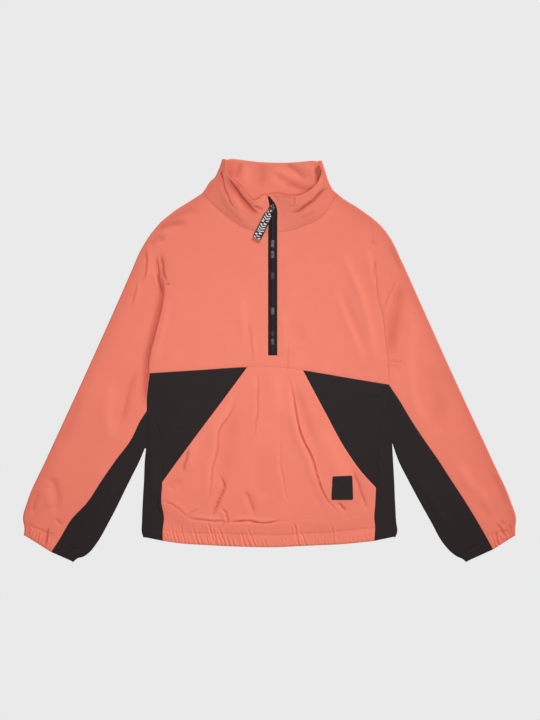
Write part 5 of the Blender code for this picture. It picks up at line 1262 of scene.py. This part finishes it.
def pull_ribbon(pull, look):
    """A woven ribbon folded round the ring's far bar; its two layers lie on each other."""
    across = 24
    lie = (RIBBON_WALL + SEAM) / 2
    loop = RING_WIRE + SEAM + RIBBON_WALL / 2
    bar = RING_SIZE[1]
    reach = np.linspace(RIBBON_REACH, bar + RIBBON_TAPER, 61)[:-1]
    neck = np.linspace(bar + RIBBON_TAPER, bar + 5, 7)[:-1]
    way = [(r, -lie) for r in (*reach, *neck)] + [(bar + 5, -lie), (bar + 3.5, -0.8 * lie - 0.15 * loop),
                                                 (bar + 2, -0.7 * loop)]
    way += [(bar - loop * math.sin(t), -loop * math.cos(t)) for t in np.linspace(0, math.pi, 13)]
    way += [(r, -up) for r, up in way[:len(reach) + len(neck) + 3][::-1]]
    way = np.array(way)
    tangent = np.gradient(way, axis=0)
    square = unit_rows(np.stack([tangent[:, 1], -tangent[:, 0]], axis=1))
    share = np.linspace(-1, 1, across + 1)
    width = np.interp(way[:, 0], [bar + 1, bar + RIBBON_TAPER], [RIBBON_NECK, RIBBON_WIDTH])
    selvedge = 1 - 0.45 * bell(1 - np.abs(share), 0.05)
    faces = []
    for out in (-0.5, 0.5):
        spot = way[None] + square[None] * (out * RIBBON_WALL * selvedge)[:, None, None]
        grid = [[pull.at(share[i] * width[j] / 2, *spot[i, j]) for j in range(len(way))]
                for i in range(across + 1)]
        faces.append(np.array(grid))
    ribbon = cloth("pull_ribbon_woven", faces[0], faces[1], look, np.ones((across, len(way) - 1), bool),
                   body="zip_pull")
    places = [np.broadcast_to(value, faces[0].shape[:2]) for value in (share[:, None], way[None, :, 0], 0)]
    places = np.stack(places, axis=-1).reshape(-1, 3)
    mark = ribbon.data.attributes.new("place", "FLOAT_VECTOR", "POINT")
    mark.data.foreach_set("vector", np.concatenate([places, places]).ravel())
    return ribbon


# ---------------------------------------------------------------- slider
def zip_slider(look):
    """The slider: a shield-shaped plate with rounded edges and the arched bridge of the pull."""
    x, y = SLIDER_AT
    width, length, thick = SLIDER_SIZE
    turns = np.linspace(0, 2 * math.pi, 49)[:-1]
    outline = np.stack([np.sin(turns) * (1 - 0.16 * np.cos(turns)), np.cos(turns)], axis=1)
    outline = np.sign(outline) * np.abs(outline)**0.72 * (width / 2, length / 2)
    levels = [(0.86, 0), (0.95, 0.12), (1, 0.4), (1, thick - 0.75), (0.95, thick - 0.3),
              (0.84, thick - 0.08), (0.6, thick), (0.3, thick + 0.02)]
    points = [(x + a * share, y + b * share, SLIDER_BASE + height) for share, height in levels
              for a, b in outline]
    arch = bridge(x, y, SLIDER_BASE + thick - 0.3)
    faces = capped_faces(len(levels), len(outline)) + capped_faces(len(arch) // 4, 4, len(points))
    return piece("zip_slider_body", np.array(points + arch), faces, look)


def bridge(x, y, foot):
    """Points of the bridge: a flat bar bent into an arch along the zip."""
    span, rise, wide, thick, steps = 4.1, 3.55, 1.2, 0.55, 24
    points = []
    for k in range(steps + 1):
        turn = math.pi * k / steps
        way = np.array([-math.cos(turn), math.sin(turn)**0.6])
        out = unit(np.array([-math.cos(turn) / span, math.sin(turn) / rise]))
        middle = np.array([y, foot]) + way * (span - thick, rise - thick)
        for side, off in ((-wide, -thick), (-wide * 0.9, thick), (wide * 0.9, thick), (wide, -thick)):
            spot = middle + out * off
            points.append((x + side, spot[0], spot[1]))
    return points


# ---------------------------------------------------------------- label
LABEL = [(110, -203.5), (144.5, -202), (146, -244.5), (108, -244.5)]
LABEL_WALL = 0.8
LABEL_CORNER = 0.028    # share of its size by which the label's corners are rounded


class Surface:
    """The outer face of a piece, asked for its height from above."""

    def __init__(self, *things):
        points, faces = [], []
        for thing in things:
            base = len(points)
            points += [v.co.copy() for v in thing.data.vertices]
            faces += [[base + k for k in p.vertices] for p in thing.data.polygons]
        self.tree = BVHTree.FromPolygons(points, faces)

    def height(self, x, y):
        hit = self.tree.ray_cast(Vector((x * MM, y * MM, 1)), Vector((0, 0, -1)))[0]
        return hit.z / MM if hit else TOP


def label_patch(surface, look):
    """The label, laid on the pocket's own surface, with slightly rounded corners."""
    a, b, c, d = [np.array(corner, float) for corner in LABEL]
    u = np.linspace(0, 1, 41)[:, None]
    edges = [p + (q - p) * u for p, q in ((d, a), (c, b), (d, c), (a, b))]
    flat = patch(*edges)
    share = np.linspace(-1, 1, 41)
    far = np.maximum(np.abs(share)[:, None], np.abs(share)[None])
    both = np.minimum(np.abs(share)[:, None], np.abs(share)[None])
    middle = flat.reshape(-1, 2).mean(axis=0)
    corner = ease((both - 0.8) / 0.2) * ease((far - 0.8) / 0.2)
    flat = middle + (flat - middle) * (1 - LABEL_CORNER * corner)[..., None]
    ground = np.array([[surface.height(*spot) for spot in row] for row in flat])
    for _ in range(3):
        ground[1:-1, 1:-1] = np.maximum(ground, blurred(ground))[1:-1, 1:-1]
    rounded = 0.35 * bell(1 - far, 0.03) + 0.12 * bell(far - 0.9, 0.03)
    outer = layer(flat, ground + SEAM + LABEL_WALL - rounded)
    return cloth("label_woven", outer, layer(flat, ground + SEAM), look)


def blurred(height):
    """The heights with their fine relief evened out, for a stiffer layer on top."""
    padded = np.pad(height, 1, mode="edge")
    return sum(padded[i:i + height.shape[0], j:j + height.shape[1]] for i in range(3) for j in range(3)) / 9


# ---------------------------------------------------------------- stitches
STITCH_LENGTH, STITCH_PITCH, THREAD = 2.5, 3.1, 0.24


def stitches(name, paths, surfaces, look):
    """Top stitching: short threads along the paths, half sunk in the cloth under them."""
    points, faces = [], []
    rings = ((-0.5, 0.35, -0.5), (-0.36, 0.9, 0.25), (0, 1, 0.45), (0.36, 0.9, 0.25), (0.5, 0.35, -0.5))
    turns = (0, 1.26, 2.51, 3.77, 5.03)
    for path in paths:
        count = int(measured(path) / STITCH_PITCH)
        middles = spread(path, (np.arange(count) + 0.5) / count)
        ways = unit_rows(np.gradient(middles, axis=0))
        for middle, way in zip(middles, ways):
            side = np.array([-way[1], way[0]])
            start = len(points)
            for share, size, lift in rings:
                spot = middle + way * share * STITCH_LENGTH
                ground = surfaces.height(*spot)
                for turn in turns:
                    off = side * THREAD * size * math.cos(turn)
                    points.append((*(spot + off), ground + THREAD * (lift + size * math.sin(turn))))
            faces += capped_faces(len(rings), len(turns), start)
    return piece(name, np.array(points), faces, look)


def seam_stitches(pattern, made, coral, black):
    """All the top stitching, in threads of the cloth's colours."""
    zip_path = [(ZIP_LEFT - ZIP_STITCH, 216), (ZIP_LEFT - ZIP_STITCH, ZIP_BOTTOM - ZIP_STITCH),
                (ZIP_RIGHT + ZIP_STITCH, ZIP_BOTTOM - ZIP_STITCH), (ZIP_RIGHT + ZIP_STITCH, 217)]
    mouths = [beside(sampled_line(pattern.mouth[side]), by)[1:-1]
              for side, by in (("left", MOUTH_STITCH), ("right", -MOUTH_STITCH))]
    hem = np.array(HEM_STITCH[2:-2], float)
    body = Surface(made["front_yoke"], made["collar"])
    sleeves = Surface(made["sleeve_left"], made["sleeve_right"])
    groups = (("yoke_stitches", [*pattern.yoke_stitches, np.array(zip_path, float)], body),
              ("pocket_stitches", [hem, *mouths], Surface(made["pocket_panel"])),
              ("cuff_stitches", [np.array(path, float) for path in CUFF_STITCH.values()], sleeves))
    for name, paths, surface in groups:
        stitches(name, paths, surface, coral)
    corners = np.array(LABEL + LABEL[:1], float)
    middle = corners[:4].mean(axis=0)
    round_label = [middle + (corners - middle) * 0.92]
    stitches("label_stitches", round_label, Surface(made["label_patch"]), black)


# ---------------------------------------------------------------- materials
class Value:
    """A socket's value, on which Python's arithmetic adds Math nodes."""

    def __init__(self, look, socket):
        self.look, self.socket = look, socket

    def math(self, operation, *values):
        return self.look.node("ShaderNodeMath", {"operation": operation}, dict(enumerate(values)))

    def __add__(self, other):
        return self.math("ADD", self, other)

    def __radd__(self, other):
        return self.math("ADD", other, self)

    def __sub__(self, other):
        return self.math("SUBTRACT", self, other)

    def __rsub__(self, other):
        return self.math("SUBTRACT", other, self)

    def __mul__(self, other):
        return self.math("MULTIPLY", self, other)

    def __rmul__(self, other):
        return self.math("MULTIPLY", other, self)

    def __abs__(self):
        return self.math("ABSOLUTE", self)

    def sine(self):
        return self.math("SINE", self)

    def above(self, limit):
        return self.math("GREATER_THAN", self, limit)

    def below(self, limit):
        return self.math("LESS_THAN", self, limit)

    def wrapped(self, length):
        return self.math("PINGPONG", self, length)

    def wave(self, length):
        """Its sine, with the period given."""
        return (self * (2 * math.pi / length)).sine()


class Look:
    """A finish: one Principled shader, its constants, and the nodes that vary it over the surface."""

    def __init__(self, name, colour, roughness, constants):
        self.material = bpy.data.materials.new(name)
        self.material.use_nodes = True
        self.nodes, self.links = self.material.node_tree.nodes, self.material.node_tree.links
        self.shader = self.nodes["Principled BSDF"]
        self.colour = colour
        self.shader.inputs["Base Color"].default_value = (*colour, 1)
        self.shader.inputs["Roughness"].default_value = roughness
        for socket, value in constants.items():
            self.shader.inputs[socket].default_value = value
        self.place = self.node("ShaderNodeTexCoord", {}, {}, "Object")

    def node(self, kind, settings, inputs, output=0):
        """Add a node: its settings first, then values or links for its sockets."""
        made = self.nodes.new(kind)
        for setting, value in settings.items():
            setattr(made, setting, value)
        for key, value in inputs.items():
            if isinstance(value, Value):
                self.links.new(value.socket, made.inputs[key])
            else:
                made.inputs[key].default_value = value
        return Value(self, made.outputs[output])

    def noise(self, size, detail=2.0):
        """Soft noise, about 0.5, with patches of the given size in millimetres."""
        return self.node("ShaderNodeTexNoise", {}, {"Vector": self.place, "Scale": 1 / (size * MM),
                                                    "Detail": detail})

    def split(self, vector):
        """A vector's three parts."""
        parts = self.node("ShaderNodeSeparateXYZ", {}, {"Vector": vector})
        return [Value(self, socket) for socket in parts.socket.node.outputs]

    def mix(self, factor, first, second):
        """Two colours, mixed by a value."""
        return self.node("ShaderNodeMix", {"data_type": "RGBA"}, {0: factor, 6: first, 7: second}, 2)

    def shade(self, amount, warmth=0.0):
        """The look's own colour, made lighter or darker by a value about 1; warmth keeps its red."""
        less = (1 - amount) * (1 - warmth)
        rest = (1 - amount) * (1 + 0.5 * warmth)
        scale = self.node("ShaderNodeCombineXYZ", {}, {0: 1 - less, 1: 1 - rest, 2: 1 - rest})
        return self.node("ShaderNodeVectorMath", {"operation": "MULTIPLY"}, {0: self.colour, 1: scale})

    def feed(self, socket, value):
        """Let a value vary one of the shader's sockets."""
        self.links.new(value.socket, self.shader.inputs[socket])

    def bump(self, height, distance):
        """Fine relief, its full height in millimetres."""
        self.feed("Normal", self.node("ShaderNodeBump", {}, {"Height": height, "Distance": distance * MM}))


# Pitches of the weaves, both ways.
KNIT_PITCH = (0.9, 1.1)
TAPE_PITCH = (0.8, 0.7)
SATIN_PITCH = 0.6
RIBBON_THREAD = 0.7


def softshell(name, colour, roughness, sheen, fleck):
    """Brushed softshell: a fine knit face, faint flecks and a soft bloom, with painted shade and highlight
    in its colour.
    """
    look = Look(name, colour, roughness, {"Sheen Weight": sheen, "Sheen Roughness": 0.5,
                                          "Specular IOR Level": 0.2})
    x, y, z = look.split(look.place)
    ribs = (x + y).wave(KNIT_PITCH[0] * MM) * (x - y + z).wave(KNIT_PITCH[1] * MM)
    fine, patches = look.noise(1.6), look.noise(34, 3)
    look.bump(ribs * 0.25 + fine, 0.14)
    # Painted shade and highlight from the mesh attribute, kept redder in the shade as if lit by light
    # bounced off the cloth.
    tone = look.node("ShaderNodeAttribute", {"attribute_name": "painted_shade_tone"}, {}, "Fac")
    look.feed("Base Color", look.shade(tone * (1 + (fine - 0.5) * fleck + (patches - 0.5) * 0.08), 0.3))
    look.feed("Roughness", roughness + (fine - 0.5) * 0.12)
    return look.material


def tape_weave(name, colour):
    """Plain woven tape, a little lighter where its threads cross."""
    look = Look(name, colour, 0.8, {"Specular IOR Level": 0.25})
    x, y, _ = look.split(look.place)
    warp = x.wave(TAPE_PITCH[0] * MM) * y.wave(TAPE_PITCH[1] * MM)
    look.bump(warp * 0.3 + look.noise(1.2), 0.12)
    look.feed("Base Color", look.shade(1 + warp * 0.12 + (look.noise(9) - 0.5) * 0.3))
    return look.material


# Groups of light dots along the zip: their middle, half length and lightness.
Mark = namedtuple("Mark", "y half light")
ZIP_MARKS = [Mark(202, 6.3, 1), Mark(183.5, 6, 0.9), Mark(147, 6, 0.35), Mark(85.5, 6, 0.9),
             Mark(46, 4, 0.25), Mark(32, 5, 0.6)]
DOT_PITCH = 1.05        # half the distance from dot to dot, both ways


def moulded(name, colour):
    """The zip's coils, with groups of small light dots woven along them."""
    look = Look(name, colour, 0.5, {"Specular IOR Level": 0.3})
    x, y, _ = look.split(look.place)
    fine = look.noise(1.1)
    group = x * 0
    for mark in ZIP_MARKS:
        group = group + abs(y - mark.y * MM).below(mark.half * MM) * mark.light
    pitch = DOT_PITCH * MM
    dots = y.wrapped(pitch).below(pitch / 2) * x.wrapped(pitch).above(pitch / 2)
    look.feed("Roughness", 0.45 + fine * 0.25)
    look.feed("Base Color", look.mix(group * dots * fine, look.shade(0.9 + fine * 0.2), (0.9, 0.9, 0.88, 1)))
    return look.material


def metal(name, colour, roughness):
    """Dark plated metal with rubbed edges."""
    look = Look(name, colour, roughness, {"Metallic": 1.0})
    worn = look.node("ShaderNodeNewGeometry", {}, {}, "Pointiness")
    edge = look.node("ShaderNodeMapRange", {}, {0: worn, 1: 0.5, 2: 0.6})
    fine = look.noise(0.8)
    look.feed("Base Color", look.mix(edge * 0.7, (*colour, 1), (0.32, 0.32, 0.33, 1)))
    look.feed("Roughness", roughness + (fine - 0.5) * 0.15)
    return look.material


def ribbon_weave(name):
    """Black and white woven ribbon: bands of chevrons and of small blocks between black borders."""
    look = Look(name, (0.03, 0.03, 0.03), 0.75, {"Sheen Weight": 0.1, "Specular IOR Level": 0.3})
    place = look.node("ShaderNodeAttribute", {"attribute_name": "place"}, {}, "Vector")
    across, along, _ = look.split(place)
    middle = abs(across)
    thread = along.wave(RIBBON_THREAD) * 0.5 + 0.5
    chevrons = (along + middle * 4.5).wrapped(2.4).below(0.95)
    blocks = (across * 3.6 + 0.6).sine() * along.wave(6.2)
    band = along.wrapped(10.5).below(6.4)
    motif = band * chevrons + (1 - band) * blocks.above(0.2)
    border = middle.above(0.78)
    light = look.mix(thread, (0.62, 0.63, 0.62, 1), (0.86, 0.87, 0.86, 1))
    dark = look.mix(thread, (0.012, 0.011, 0.012, 1), (0.03, 0.028, 0.03, 1))
    base = look.mix(motif.above(0.5), dark, light)
    base = look.mix(border, base, (0.02, 0.019, 0.02, 1))
    look.feed("Base Color", base)
    look.bump(thread * 0.6 + look.noise(0.7), 0.10)
    return look.material


def satin(name, colour):
    """The label's smooth weave, with fine rows across it."""
    look = Look(name, colour, 0.55, {"Sheen Weight": 0.05, "Specular IOR Level": 0.25})
    _, y, _ = look.split(look.place)
    rows = y.wave(SATIN_PITCH * MM)
    fine = look.noise(1.3)
    look.bump(rows * 0.4 + fine, 0.08)
    look.feed("Base Color", look.shade(1 + rows * 0.08 + (fine - 0.5) * 0.4))
    look.feed("Roughness", 0.5 + fine * 0.15)
    return look.material


def thread(name, colour):
    """Stitching thread in its cloth's colour."""
    look = Look(name, colour, 0.6, {"Sheen Weight": 0.2})
    look.feed("Base Color", look.shade(0.88 + look.noise(0.9) * 0.24))
    return look.material


# ---------------------------------------------------------------- light and camera
PHOTO_CENTRE = (0.875, -0.44)       # the point under the camera
PHOTO_LENGTH = 1260.0               # how much of the surface the picture's long side shows
CAMERA_HEIGHT = 3000.0
SENSOR = 36.0
FLOOR_TONE = (0.822, 0.822, 0.822)
# Shares of the light on a level surface: all round, the key from the upper right, and the panel above.
AMBIENT, KEY_SHARE, PANEL_SHARE = 0.13, 0.40, 0.54
# The light all round is a little warm, as beside bright cloth; the panel makes up for it in the middle.
AMBIENT_COLOUR = (2.3, 1, 1)
PANEL_COLOUR = (0.687, 1, 1)
KEY_RISE, KEY_TURN = math.radians(38), math.radians(64)
PANEL_AT = (0.02, 0.0, 0.80)


def light_and_camera():
    """Soft light with a low key from the upper right, and the camera straight above."""
    scene = bpy.context.scene
    scene.view_settings.view_transform = "Standard"
    world = bpy.data.worlds.new("even_light")
    world.use_nodes = True
    world.node_tree.nodes["Background"].inputs["Color"].default_value = (*AMBIENT_COLOUR, 1)
    world.node_tree.nodes["Background"].inputs["Strength"].default_value = AMBIENT
    scene.world = world
    key = bpy.data.lights.new("key", "SUN")
    key.energy, key.angle = math.pi * KEY_SHARE / math.sin(KEY_RISE), math.radians(14)
    panel = bpy.data.lights.new("panel", "AREA")
    panel.shape, panel.size, panel.color = "DISK", 0.4, PANEL_COLOUR
    panel.energy = math.pi**2 * PANEL_SHARE * PANEL_AT[2]**2
    flat = math.cos(KEY_RISE)
    for light, at, towards in ((key, (0, 0, 1), (flat * math.cos(KEY_TURN), flat * math.sin(KEY_TURN),
                                                 math.sin(KEY_RISE))), (panel, PANEL_AT, (0, 0, 1))):
        lamp = bpy.data.objects.new(light.name, light)
        lamp.location, lamp.rotation_mode = at, "QUATERNION"
        lamp.rotation_quaternion = Vector(towards).to_track_quat("Z", "Y")
        lamp.visible_camera = False
        scene.collection.objects.link(lamp)
    camera = bpy.data.cameras.new("camera")
    camera.sensor_width = SENSOR
    camera.lens = SENSOR * CAMERA_HEIGHT / PHOTO_LENGTH
    viewer = bpy.data.objects.new("camera", camera)
    viewer.location = (PHOTO_CENTRE[0] * MM, PHOTO_CENTRE[1] * MM, CAMERA_HEIGHT * MM)
    scene.collection.objects.link(viewer)
    scene.camera = viewer


def floor():
    """The plain pale surface that the garment lies on, evenly lit."""
    half = 4.0
    mesh = bpy.data.meshes.new("floor")
    mesh.from_pydata([(-half, -half, -0.0001), (half, -half, -0.0001), (half, half, -0.0001),
                      (-half, half, -0.0001)], [], [(0, 1, 2, 3)])
    look = Look("floor", (0, 0, 0), 1.0, {"Specular IOR Level": 0, "Emission Color": (*FLOOR_TONE, 1),
                                          "Emission Strength": 1.0})
    mesh.materials.append(look.material)
    plane = bpy.data.objects.new("floor", mesh)
    bpy.context.scene.collection.objects.link(plane)


# ---------------------------------------------------------------- garment
CORAL = (0.852, 0.227, 0.154)
BLACK = (0.0215, 0.0157, 0.0167)
LABEL_BLACK = (0.0125, 0.0085, 0.008)
ZIP_BLACK = (0.0135, 0.0088, 0.0082)
METAL = (0.05, 0.05, 0.052)

# Each sheet of cloth: width and length of its cut, and the cut's own area, in millimetres; how it is
# held, and what it lies on. A panel that turns round the silhouette counts with what shows on both sides.
Sheet = namedtuple("Sheet", "node width length area held below")


def garment():
    """Every piece, its finish and the solid that it stands for."""
    coral = softshell("coral_softshell", CORAL, 0.82, 0.06, 0.10)
    black = softshell("black_softshell", BLACK, 0.85, 0.02, 0.30)
    pattern = Pattern()
    made = {"back": back(pattern, coral), "front_yoke": front_yoke(pattern, coral),
            "lower_front": lower_front(pattern, black), "pocket_panel": pocket_panel(pattern, coral),
            "collar": collar(pattern, coral)}
    for side in SIDES:
        for kind, look in (("sleeve", coral), ("sleeve_gusset", black), ("side_panel", black)):
            made[f"{kind}_{side}"] = panel(kind, side, pattern, look)
    made["zip_tape"] = zip_tape(tape_weave("zip_tape", ZIP_BLACK))
    made["zip_chain"] = zip_chain(moulded("zip_chain", ZIP_BLACK))
    made["zip_slider"] = zip_slider(metal("slider_metal", METAL, 0.35))
    pull = Pull()
    made["pull_ring"] = pull_ring(pull, metal("ring_metal", METAL, 0.3))
    made["pull_ribbon"] = pull_ribbon(pull, ribbon_weave("pull_ribbon"))
    surface = Surface(made["pocket_panel"])
    made["label_patch"] = label_patch(surface, satin("label", LABEL_BLACK))
    for node, thing in made.items():
        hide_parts(node)
    seam_stitches(pattern, made, thread("coral_thread", CORAL), thread("black_thread", LABEL_BLACK))


light_and_camera()
floor()
garment()
